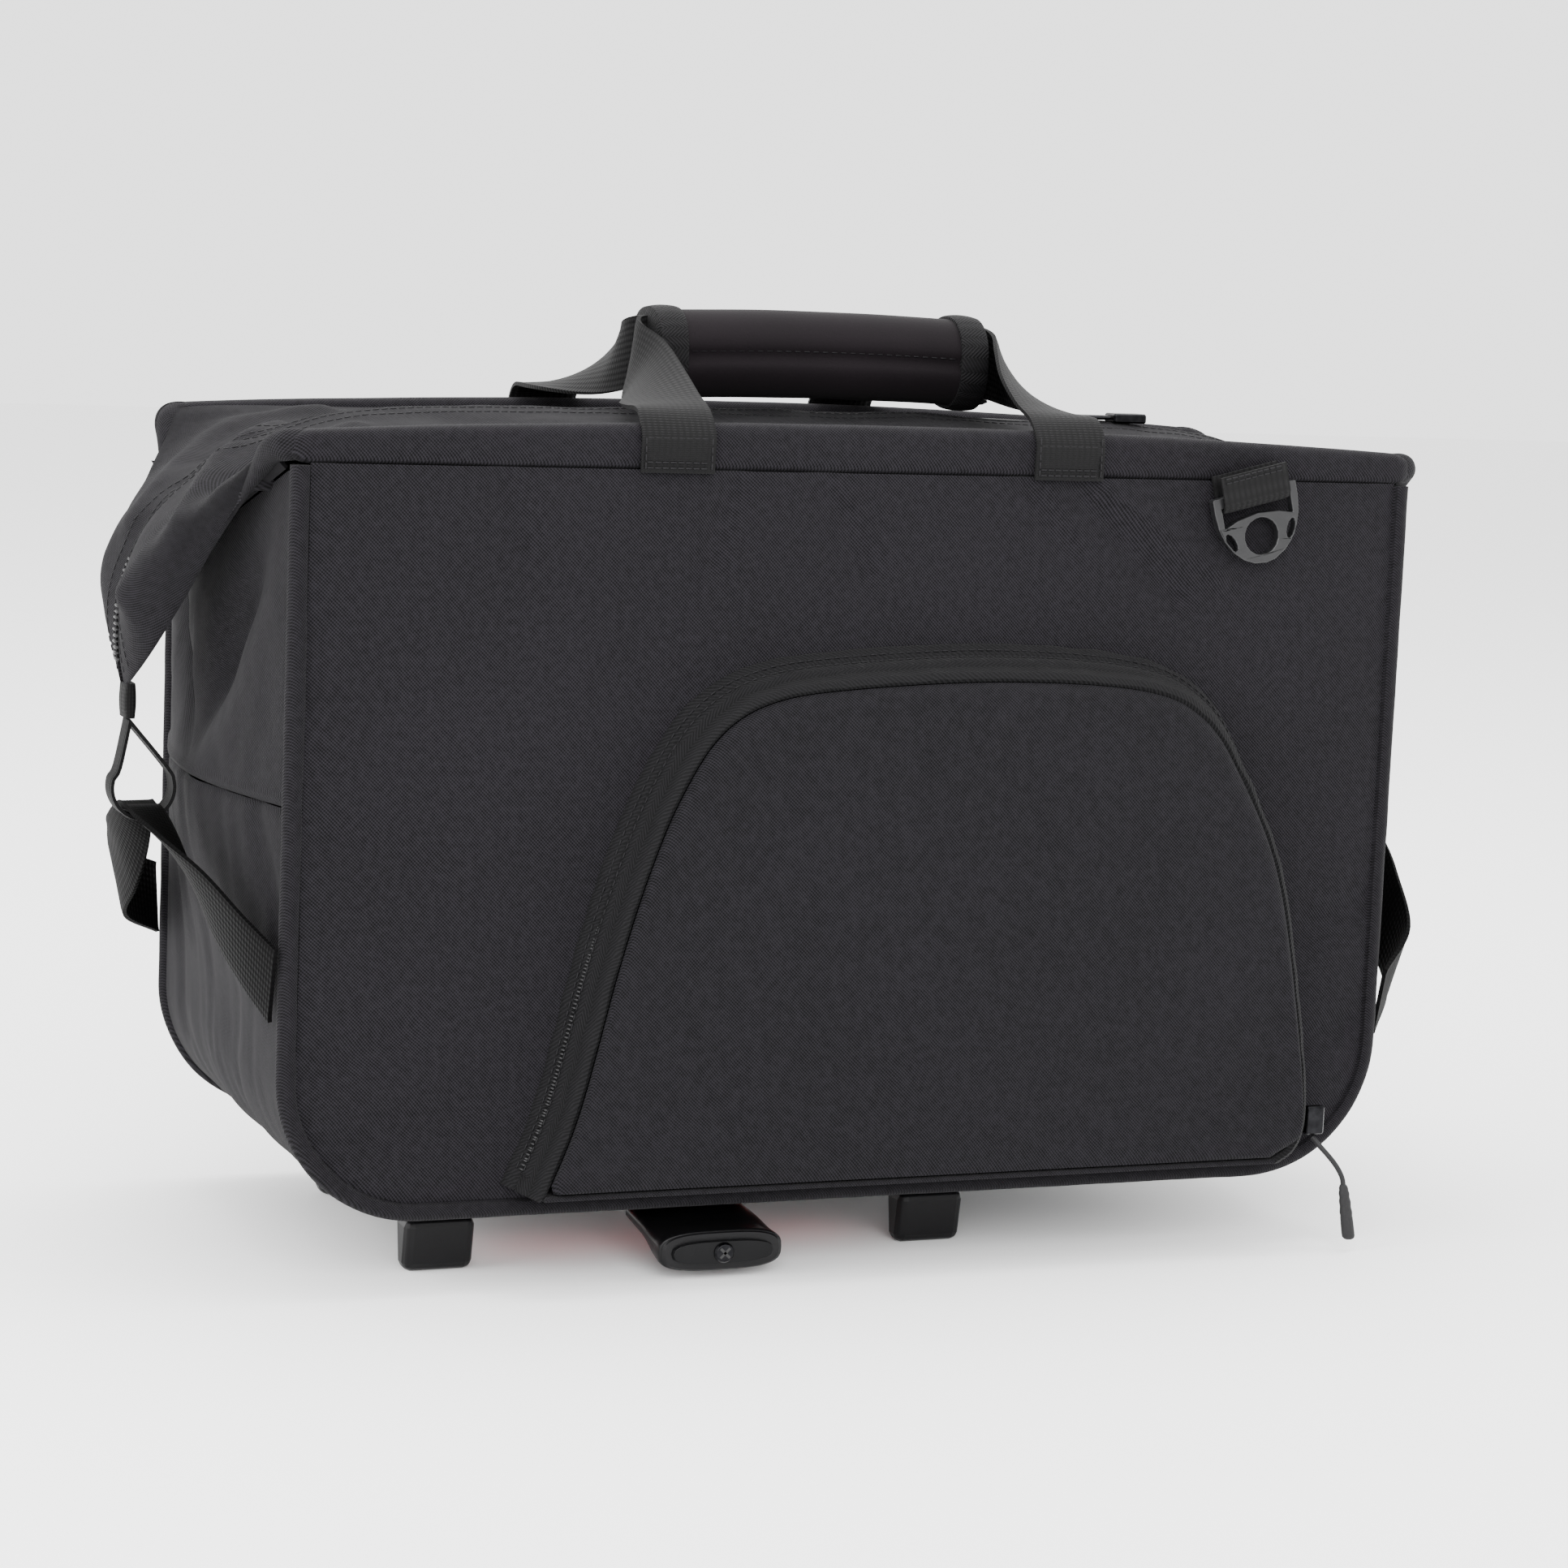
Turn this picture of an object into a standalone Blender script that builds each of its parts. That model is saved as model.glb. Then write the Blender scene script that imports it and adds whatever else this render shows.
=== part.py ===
"""Bicycle rack bag: a zipped bag with two folded-down wings, a front pocket and a rack adapter.

Metres, +Z up, +X to the right; the pocket faces -Y. The origin lies on the ground, under the middle
of the bag's box.
"""

import math

import bmesh
import bpy
from mathutils import Matrix, Vector

# Body of the bag
PANEL_WIDTH = 0.395
PANEL_TOP = 0.2660
PANEL_BOTTOM = 0.0245
BAG_DEPTH = 0.176
CORNER_RADIUS = 0.048
PANEL_THICKNESS = 0.005
PANEL_INSET = 0.0015
PIPING_DIAMETER = 0.0075
GUSSET_WALL = 0.003
GUSSET_INSET = 0.002
CLOTH_WALL = 0.002
SIDE_SEAM_HEIGHT = 0.1580
SIDE_BULGE = 0.013
GAP = 0.0003
SEAM_GAP = 0.0009
EDGE_ROUNDING = 0.0006

# Rims and the closed top
RIM_HEIGHT = 0.0105
RIM_THICKNESS = 0.0115
RIM_ARCH = 0.0055
RIM_ROUNDING = 0.003
RIM_INSET = 0.0005
FLAP_STEP = 0.003
FLAP_CROWN = 0.004
FLAP_SAG = 0.004
WING_REACH = 0.0325
WING_DROP = 0.0965
WING_BELLY = 0.030
WING_BELLY_RISE = 0.052
WING_SHOULDER_WIDTH = 0.067
WING_SHOULDER_REACH = 0.074
WING_SHOULDER_TAPER = 0.2
TUCK_DROP = 0.030
TUCK_HEAD_DROP = 0.002
TUCK_REACH = 0.010
VALLEY_DENT = 0.010
VALLEY_WIDTH = 0.016
ZIP_WIDTH = 0.006
ZIP_THICKNESS = 0.0016

# Webbing, loops and handles
WEBBING_WIDTH = 0.025
WEBBING_THICKNESS = 0.0015
LOOP_WIDTH = 0.010
LOOP_THICKNESS = 0.0012
LOOP_RADIUS = 0.0105
LOOP_REACH = 0.0260
LOOP_HEIGHT = 0.034
LOOP_OPENING = math.radians(100.0)
ZIP_TAB_LENGTH = 0.009
ZIP_TAB_WIDTH = 0.012
ZIP_TAB_THICKNESS = 0.0032
STRAP_END_HEIGHT_LEFT = 0.1025
STRAP_END_HEIGHT_RIGHT = 0.0850
STRAP_PINCH = 0.012
STRAP_PINCH_FROM = 0.1
STRAP_PINCH_TO = 0.5
STRAP_STAND_OFF = 0.0015
HANDLE_CENTRE_X = -0.003
HANDLE_SPREAD_FRONT = 0.138
HANDLE_SPREAD_BACK = 0.116
GRIP_CENTRE_X = 0.0075
GRIP_RISE = 0.0355
GRIP_LENGTH = 0.121
GRIP_HEIGHT = 0.0300
GRIP_DEPTH = 0.030
GRIP_ARCH = 0.0015
GRIP_SLOT = 0.0056
HANDLE_TURN = 0.0075
HANDLE_CREST = 0.004
BINDING_LENGTH = 0.010
BINDING_THICKNESS = 0.0014

# Ring for a shoulder strap
RING_X = 0.1335
RING_DROP = 0.0035
RING_TILT = math.radians(-14.0)
RING_WIDTH = 0.032
RING_LENGTH = 0.0235
RING_BAR = 0.0034
RING_SLOT_WIDTH = 0.0262
RING_SLOT_HEIGHT = 0.0060
RING_BRIDGE_RISE = 0.0028
RING_EYE_RADIUS = 0.0063
RING_EYE_WALL = 0.0031
RING_SIDE_SLOT_X = 0.0114
RING_SIDE_SLOT_DROP = 0.0062
RING_SIDE_SLOT_WIDTH = 0.0028
RING_SIDE_SLOT_LENGTH = 0.0068
RING_SIDE_SLOT_TURN = math.radians(24.0)
RING_TAB_RISE = 0.0088
RING_TAB_WALL = 0.0012

# Front pocket
POCKET_FROM_LEFT = 0.084
POCKET_WIDTH = 0.276
POCKET_FOOT = 0.0080
POCKET_HEIGHT = 0.1685
POCKET_RISE = 0.014
POCKET_FLARE = 0.0110
POCKET_WALL = 0.0022
POCKET_FACE_WALL = 0.003
POCKET_ZIP_WIDTH = 0.004
POCKET_ZIP_THICKNESS = 0.0010
POCKET_ZIP_SHARE = 0.42
POCKET_ZIP_SPAN = 0.3
SLIDER_LENGTH = 0.010
SLIDER_WIDTH = 0.007
SLIDER_THICKNESS = 0.0036
PULLER_CORD_DIAMETER = 0.0018
PULLER_GRIP_WIDTH = 0.0048
PULLER_GRIP_LENGTH = 0.020
PULLER_GRIP_FLATNESS = 0.62
MAIN_SLIDER_X = 0.130
MAIN_SLIDER_LENGTH = 0.013
MAIN_SLIDER_WIDTH = 0.0085
MAIN_SLIDER_THICKNESS = 0.0034
MAIN_PULL_LENGTH = 0.024
MAIN_PULL_WIDTH = 0.0060
MAIN_PULL_THICKNESS = 0.0016

# Rack adapter
ADAPTER_CENTRE_X = -0.046
ADAPTER_WIDTH = 0.206
ADAPTER_DEPTH = 0.124
ADAPTER_THICKNESS = 0.0075
ADAPTER_ROUNDING = 0.0025
FOOT_SPACING_X = 0.176
FOOT_SPACING_Y = 0.106
FOOT_WIDTH = 0.024
FOOT_DEPTH = 0.015
FOOT_TOE_DEPTH = 0.009
FOOT_ROUNDING = 0.003
PULL_WIDTH = 0.0435
PULL_HEIGHT = 0.0135
PULL_FACE_Z = 0.0098
PULL_LENGTH = 0.038
PULL_CAP_THICKNESS = 0.0016
PULL_CAP_MARGIN = 0.0022
SCREW_RADIUS = 0.0036
SCREW_HEIGHT = 0.0010
LOCK_WIDTH = 0.138
LOCK_DEPTH = 0.030
LOCK_THICKNESS = 0.0019

# What follows from them
HALF_WIDTH = PANEL_WIDTH / 2.0
HALF_DEPTH = BAG_DEPTH / 2.0
PIPING_RADIUS = PIPING_DIAMETER / 2.0
GUSSET_EDGE = HALF_DEPTH - PIPING_DIAMETER - GAP
GUSSET_X = HALF_WIDTH - GUSSET_INSET
BELLY_Z = PANEL_BOTTOM + GUSSET_INSET
CORNER_TOP = PANEL_BOTTOM + CORNER_RADIUS
PANEL_FRONT = HALF_DEPTH - PANEL_INSET
RIM_FRONT = HALF_DEPTH - RIM_INSET
RIM_BACK = RIM_FRONT - RIM_THICKNESS
RIM_BASE = PANEL_TOP + GAP
TUCK_HEIGHT = PANEL_TOP - TUCK_DROP
GRIP_CENTRE_Z = PANEL_TOP + GRIP_RISE
LOOP_X = HALF_WIDTH + LOOP_REACH
POCKET_LEFT = POCKET_FROM_LEFT - HALF_WIDTH
RIM_SHOULDER = RIM_BASE + RIM_HEIGHT
FLAP_EDGE = RIM_BACK - SEAM_GAP
ZIP_TOP = RIM_SHOULDER + RIM_ARCH + FLAP_CROWN - FLAP_STEP
ADAPTER_TOP = BELLY_Z - GAP
ADAPTER_UNDERSIDE = ADAPTER_TOP - ADAPTER_THICKNESS
BACK_REACH = WEBBING_THICKNESS + GAP - RIM_INSET
BOX_SHIFT = (POCKET_RISE - BACK_REACH) / 2.0

# One row per fold station between the zip (depth 0) and the rim (depth 1). reach and drop place the
# wing's lower ridge, as shares of WING_REACH and WING_DROP; belly and rise swell it outwards there,
# as shares of WING_BELLY and WING_BELLY_RISE.
WING_ROWS = (
    # depth, reach, drop, belly, rise
    (0.00, 1.00, 1.00, 0.37, 1.00),
    (0.12, 0.96, 0.95, 0.66, 0.90),
    (0.28, 0.84, 0.84, 1.00, 0.62),
    (0.43, 0.62, 0.66, 1.02, 0.36),
    (0.58, 0.44, 0.49, 0.90, 0.20),
    (0.76, 0.22, 0.31, 0.58, 0.12),
    (0.90, 0.09, 0.175, 0.28, 0.09),
    (1.00, 0.03, 0.115, 0.08, 0.08),
)

# Pocket outline from its lower left corner: shares of POCKET_WIDTH and POCKET_HEIGHT, and how much
# of POCKET_FLARE its band spreads there
POCKET_ROWS = (
    # along, up, flare
    (0.000, 0.000, 1.00),
    (0.040, 0.170, 1.00),
    (0.083, 0.450, 1.00),
    (0.118, 0.640, 1.00),
    (0.153, 0.780, 1.00),
    (0.198, 0.895, 1.00),
    (0.260, 0.958, 1.00),
    (0.360, 0.985, 1.00),
    (0.560, 1.000, 1.00),
    (0.745, 0.982, 0.90),
    (0.830, 0.925, 0.80),
    (0.885, 0.810, 0.62),
    (0.945, 0.610, 0.46),
    (0.982, 0.330, 0.30),
    (1.000, 0.110, 0.18),
    (0.988, 0.032, 0.10),
    (0.962, 0.000, 0.00),
)

# Half of a side strap, from the piping to the loop: where its middle runs, how much further out its
# slack half hangs and how its width turns
STRAP_ROWS = (
    # depth share, outward share, slack share, upward share, width direction x, y, z
    (1.00, 0.00, 0.00, 0.00, 0.00, -0.25, 0.97),
    (0.78, 0.24, 0.46, 0.20, 0.10, -0.38, 0.92),
    (0.50, 0.52, 0.36, 0.48, 0.30, -0.42, 0.86),
    (0.26, 0.79, 0.16, 0.78, 0.72, -0.28, 0.62),
    (0.10, 0.99, 0.01, 1.00, 1.00, 0.00, 0.03),
    (0.00, 1.00, 0.00, 1.00, 1.00, 0.00, 0.00),
)

# A handle strap from where it turns outside the grip to the crest of its rim: shares of the way
# along x, of the depth and of the height, and the width direction, where x points inwards
HANDLE_ROWS = (
    # x share, depth share, height share, width direction x, z
    (0.00, 0.09, 0.86, 0.20, 0.98),
    (0.08, 0.25, 0.66, 0.56, 0.83),
    (0.50, 0.50, 0.40, 0.86, 0.51),
    (0.86, 0.76, 0.16, 0.98, 0.18),
    (1.00, 0.93, 0.00, 1.00, 0.00),
)

# Release handle from its face backwards: shares of its length, width and height, and how far the
# middle rises towards the adapter plate
PULL_ROWS = (
    # back, width, height, rise
    (0.00, 0.93, 0.90, 0.00),
    (0.05, 1.00, 1.00, 0.00),
    (0.22, 0.99, 0.90, 0.25),
    (0.50, 0.97, 0.66, 0.72),
    (1.00, 0.95, 0.54, 1.00),
)

# Moulded puller grip from the cord down: shares of its length and width
PULLER_GRIP_ROWS = (
    # along, width
    (0.00, 0.55),
    (0.08, 0.75),
    (0.50, 0.95),
    (0.90, 1.00),
    (1.00, 0.60),
)

# Puller route, chosen by hand, from the slider's eye past the corner piping and down: inwards from
# the panel's right edge, in front of the bag's face and above the panel's foot
PULLER_ROUTE = (
    # inwards, forward, up
    (0.0285, 0.0080, 0.0157),
    (0.0266, 0.0104, 0.0129),
    (0.0241, 0.0120, 0.0099),
    (0.0216, 0.0127, 0.0069),
    (0.0195, 0.0128, 0.0039),
    (0.0183, 0.0128, 0.0015),
    (0.0179, 0.0128, -0.0003),
)


def clear_scene():
    for item in list(bpy.data.objects):
        bpy.data.objects.remove(item, do_unlink=True)


def new_collection(name):
    group = bpy.data.collections.new(name)
    bpy.context.scene.collection.children.link(group)
    return group


def surface(name, colour, roughness, metallic=0.0):
    material = bpy.data.materials.new(name)
    material.use_nodes = True
    shader = material.node_tree.nodes["Principled BSDF"]
    shader.inputs["Base Color"].default_value = (*colour, 1.0)
    shader.inputs["Roughness"].default_value = roughness
    shader.inputs["Metallic"].default_value = metallic
    return material


def empty(name, location, parent=None, tilt=0.0):
    item = bpy.data.objects.new(name, None)
    item.location = location
    item.rotation_euler = (0.0, tilt, 0.0)
    item.parent = parent
    PARTS.objects.link(item)
    return item


def place(name, data, material, parent, location=(0.0, 0.0, 0.0)):
    item = bpy.data.objects.new(name, data)
    item.location = location
    item.parent = parent
    data.materials.append(material)
    PARTS.objects.link(item)
    return item


def solid(name, bm, material, parent, location=(0.0, 0.0, 0.0), sharp=40.0):
    """An object from a closed bmesh, faces pointing out, smooth up to the sharp angle."""
    bmesh.ops.recalc_face_normals(bm, faces=bm.faces)
    mesh = bpy.data.meshes.new(name)
    bm.to_mesh(mesh)
    bm.free()
    mesh.shade_smooth()
    mesh.set_sharp_from_angle(angle=math.radians(sharp))
    return place(name, mesh, material, parent, location)


def smooth_points(points, steps):
    """Points on a Catmull-Rom curve through the given rows of numbers."""
    rows = [Vector(point) for point in points]
    rows = [2 * rows[0] - rows[1], *rows, 2 * rows[-1] - rows[-2]]
    found = []
    for a, b, c, d in zip(rows, rows[1:], rows[2:], rows[3:]):
        for step in range(steps):
            t = step / steps
            found.append(0.5 * (2 * b + (c - a) * t + (2 * a - 5 * b + 4 * c - d) * t**2
                                + (3 * b - a - 3 * c + d) * t**3))
    found.append(rows[-2])
    return found


def u_path(inset, top, steps=8):
    """(x, z) down the left side, round the bottom corners and up the right side."""
    half = HALF_WIDTH - inset
    bottom = PANEL_BOTTOM + inset
    radius = CORNER_RADIUS - inset
    left = [(-half, top)]
    for step in range(steps + 1):
        angle = math.pi + step / steps * math.pi / 2
        left.append((-half + radius + radius * math.cos(angle),
                     bottom + radius + radius * math.sin(angle)))
    return left + [(-x, z) for x, z in reversed(left)]


def plate(name, outline, front, thickness, material, parent):
    """A flat plate of an (x, z) outline that reaches from y = front backwards."""
    bm = bmesh.new()
    face = bm.faces.new([bm.verts.new((x, front, z)) for x, z in outline])
    grown = bmesh.ops.extrude_face_region(bm, geom=[face])
    moved = [item for item in grown["geom"] if isinstance(item, bmesh.types.BMVert)]
    bmesh.ops.translate(bm, verts=moved, vec=(0.0, thickness, 0.0))
    bmesh.ops.triangulate(bm, faces=[face for face in bm.faces if len(face.verts) > 4])
    return solid(name, bm, material, parent)


def lofted(sections, around, ends_meet=False):
    """A bmesh through sections of as many points; around joins each section to a ring."""
    bm = bmesh.new()
    rings = [[bm.verts.new(point) for point in section] for section in sections]
    pairs = list(zip(rings, rings[1:]))
    if ends_meet:
        pairs.append((rings[-1], rings[0]))
    count = len(rings[0])
    for low, high in pairs:
        for i in range(count if around else count - 1):
            j = (i + 1) % count
            bm.faces.new((low[i], low[j], high[j], high[i]))
    if around and not ends_meet:
        bm.faces.new(rings[0])
        bm.faces.new(rings[-1])
    return bm


def cloth(name, sections, outward, thickness, material, parent):
    """A sheet through the sections that grows inwards by its thickness."""
    bm = lofted(sections, False)
    bm.normal_update()
    lead = max(bm.faces, key=lambda face: face.calc_center_median().dot(outward))
    if lead.normal.dot(outward) < 0:
        bmesh.ops.reverse_faces(bm, faces=bm.faces)
    mesh = bpy.data.meshes.new(name)
    bm.to_mesh(mesh)
    bm.free()
    mesh.shade_smooth()
    item = place(name, mesh, material, parent)
    wall = item.modifiers.new("wall", "SOLIDIFY")
    wall.thickness = thickness
    wall.offset = -1.0
    wall.use_even_offset = False
    return item


def ribbon(name, stations, thickness, material, parent, ends_meet=False):
    """A strap through (centre, width vector) stations."""
    sections = []
    count = len(stations)
    for i, (centre, across) in enumerate(stations):
        before = stations[(i - 1) % count if ends_meet else max(i - 1, 0)][0]
        after = stations[(i + 1) % count if ends_meet else min(i + 1, count - 1)][0]
        up = (after - before).cross(across).normalized() * thickness / 2
        side = across / 2
        sections.append([centre + side + up, centre - side + up,
                         centre - side - up, centre + side - up])
    bm = lofted(sections, True, ends_meet)
    return solid(name, bm, material, parent, sharp=50.0)


def tube(name, points, radius, sides, material, parent):
    """A rod of the given sides through points, with flat ends."""
    curve = bpy.data.curves.new(name, "CURVE")
    curve.dimensions = "3D"
    curve.bevel_depth = radius
    curve.bevel_resolution = sides
    curve.use_fill_caps = True
    spline = curve.splines.new("POLY")
    spline.points.add(len(points) - 1)
    for spot, point in zip(spline.points, points):
        spot.co = (*point, 1.0)
    return place(name, curve, material, parent)


def block(name, size, centre, rounding, material, parent, segments=2):
    bm = bmesh.new()
    bmesh.ops.create_cube(bm, size=1.0)
    bmesh.ops.scale(bm, vec=size, verts=bm.verts)
    bmesh.ops.translate(bm, vec=centre, verts=bm.verts)
    bmesh.ops.bevel(bm, geom=bm.edges, offset=rounding, segments=segments, profile=0.5,
                    affect="EDGES", clamp_overlap=True)
    return solid(name, bm, material, parent)


def oval(width, height, count, power=2.6):
    """(across, up) points round a squarish oval."""
    points = []
    for i in range(count):
        angle = 2 * math.pi * i / count
        c, s = math.cos(angle), math.sin(angle)
        points.append((width / 2 * math.copysign(abs(c) ** (2 / power), c),
                       height / 2 * math.copysign(abs(s) ** (2 / power), s)))
    return points


def side_bulge(y, z):
    """How far the soft side stands out at this depth and height."""
    span = max(0.0, math.cos(math.pi * y / (2 * GUSSET_EDGE)))
    climb = min(1.0, max(0.0, (z - CORNER_TOP) / (SIDE_SEAM_HEIGHT - CORNER_TOP)))
    return SIDE_BULGE * span * climb * climb * (3 - 2 * climb)


def rim_arch(x):
    return RIM_ARCH * (1 - min(1.0, abs(x) / HALF_WIDTH) ** 2)


def tuck(y):
    """(x, z) of the hidden line where the wing's under layer meets the side."""
    share = min(1.0, abs(y) / FLAP_EDGE)
    head = PANEL_TOP - TUCK_HEAD_DROP
    return GUSSET_X + TUCK_REACH * (1 - share), TUCK_HEIGHT + (head - TUCK_HEIGHT) * share


def side_reach(y, climb):
    """How far the upper side stands out, where climb is 0 at the seam and 1 at the rim: it bulges
    in the middle and is creased from the rim's corners down to the middle of the seam."""
    near = math.exp(-(((abs(y) - FLAP_EDGE * climb) / VALLEY_WIDTH) ** 2))
    span = math.cos(math.pi * y / (2 * GUSSET_EDGE))
    middle = SIDE_BULGE + (TUCK_REACH - SIDE_BULGE) * climb
    return middle * span - VALLEY_DENT * near * math.sin(math.pi * climb) * math.sqrt(span)


def flap_height(x, share):
    """Height of the closed top; share is 0 at the zip and 1 at the rim."""
    base = RIM_SHOULDER + rim_arch(x) - FLAP_STEP
    return base + FLAP_CROWN * (1 - share) - FLAP_SAG * math.sin(math.pi * share)


def wing_profile(row):
    """Half a section of the top, from the ridge under the wing to the middle of the bag: (x, z)."""
    depth, reach, drop, belly, rise = row
    ridge = Vector((HALF_WIDTH + WING_REACH * reach, ZIP_TOP - WING_DROP * drop))
    swell = ridge + Vector((WING_BELLY * belly, WING_BELLY_RISE * rise))
    flat_x = HALF_WIDTH - WING_SHOULDER_WIDTH
    flat = Vector((flat_x, flap_height(flat_x, depth)))
    shoulder_x = flat_x + WING_SHOULDER_REACH * (1 - WING_SHOULDER_TAPER * depth)
    shoulder = Vector((shoulder_x, flap_height(flat_x, depth)))
    points = []
    for step in (0.0, 0.12, 0.26, 0.42, 0.58, 0.74, 0.88, 1.0):
        keep = 1 - step
        points.append(keep**3 * ridge + 3 * keep**2 * step * swell
                      + 3 * keep * step**2 * shoulder + step**3 * flat)
    for share in (0.62, 0.3, 0.0):
        x = flat_x * share
        points.append(Vector((x, flap_height(x, depth))))
    return points


def padded_panel(side, word, fabric, piping, root):
    """Front or back panel and the fat piping round its sides and foot."""
    outline = u_path(PIPING_DIAMETER + GAP, PANEL_TOP)
    front = -PANEL_FRONT if side < 0 else PANEL_FRONT - PANEL_THICKNESS
    plate(word + "_panel", outline, front, PANEL_THICKNESS, fabric, root)
    y = side * (HALF_DEPTH - PIPING_RADIUS)
    path = [(x, y, z) for x, z in u_path(PIPING_RADIUS, PANEL_TOP)]
    tube(word + "_piping", path, PIPING_RADIUS - GAP / 2, 2, piping, root)


def rim(side, word, fabric, root):
    """A rounded sleeve along the top of a panel, arched in its middle."""
    sections = []
    for step in range(-8, 9):
        x = HALF_WIDTH * step / 8
        height = RIM_HEIGHT + rim_arch(x)
        middle = RIM_BASE + height / 2
        y = side * (RIM_FRONT - RIM_THICKNESS / 2)
        sections.append([Vector((x, y + across, middle + up))
                         for across, up in oval(RIM_THICKNESS, height, 12, 4.0)])
    solid("rim_" + word, lofted(sections, True), fabric, root)


def lower_gusset(fabric, root):
    """The padded band down one side, under the bag and up the other side."""
    straight = SIDE_SEAM_HEIGHT - CORNER_TOP
    rise = [SIDE_SEAM_HEIGHT - straight * share for share in (0.0, 0.35, 0.7)]
    bend = u_path(GUSSET_INSET, SIDE_SEAM_HEIGHT)[1:-1]
    path = [(-GUSSET_X, z) for z in rise] + bend + [(GUSSET_X, z) for z in reversed(rise)]
    sections = []
    for step in range(-4, 5):
        y = GUSSET_EDGE * step / 4
        sections.append([Vector((x + math.copysign(side_bulge(y, z), x), y, z)) for x, z in path])
    cloth("gusset_lower", sections, Vector((0, 0, -1)), GUSSET_WALL, fabric, root)


def side_upper(side, word, fabric, root):
    """The soft side above the seam, up to where the wing's under layer meets it."""
    foot = SIDE_SEAM_HEIGHT + SEAM_GAP
    sections = []
    for step in range(-8, 9):
        y = GUSSET_EDGE * step / 8
        head_x, head_z = tuck(y)
        row = [Vector((side * (GUSSET_X + side_reach(y, 0.0)), y, foot))]
        for share in (0.06, 0.18, 0.32, 0.46, 0.60, 0.74, 0.88, 1.0):
            z = foot + (head_z - SEAM_GAP - foot) * share
            climb = (z - SIDE_SEAM_HEIGHT) / (PANEL_TOP - SIDE_SEAM_HEIGHT)
            reach = side_reach(y, climb) if share > 0.06 else side_reach(y, 0.0)
            settle = share**4
            x = (GUSSET_X + reach) * (1 - settle) + head_x * settle
            row.append(Vector((side * x, y, z)))
        sections.append(row)
    cloth("side_upper_" + word, sections, Vector((side, 0, 0)), CLOTH_WALL, fabric, root)


def top_flap(side, word, fabric, root):
    """Half of the closed top with half of both wings, turned under and tucked against the sides."""
    sections = []
    for row in WING_ROWS:
        y = FLAP_EDGE * row[0] + ZIP_WIDTH / 2 * (1 - row[0])
        under = FLAP_EDGE * row[0] + CLOTH_WALL * (1 - row[0])
        profile = wing_profile(row)
        tuck_x, tuck_z = tuck(y)
        head = Vector((tuck_x + SEAM_GAP, tuck_z))
        inner = [head, head.lerp(profile[0], 0.5)]
        half = [Vector((p.x, side * under, p.y)) for p in inner]
        half.append(Vector((profile[0].x, side * under, profile[0].y)))
        half += [Vector((p.x, side * y, p.y)) for p in profile[1:]]
        mirrored = [Vector((-p.x, p.y, p.z)) for p in half[:-1]]
        sections.append(mirrored + list(reversed(half)))
    cloth("top_flap_" + word, sections, Vector((0, 0, 1)), CLOTH_WALL, fabric, root)


def main_zip(material, root):
    """The closed coil along the top and down both wings, level with the flaps."""
    profile = wing_profile(WING_ROWS[0])[1:]
    half = [(p.x, p.y) for p in profile]
    path = [(-x, z) for x, z in half[:-1]] + list(reversed(half))
    width = ZIP_WIDTH / 2 - SEAM_GAP
    sections = [[Vector((x, y, z)) for x, z in path] for y in (-width, 0.0, width)]
    cloth("main_zip", sections, Vector((0, 0, 1)), ZIP_THICKNESS, material, root)


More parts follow.
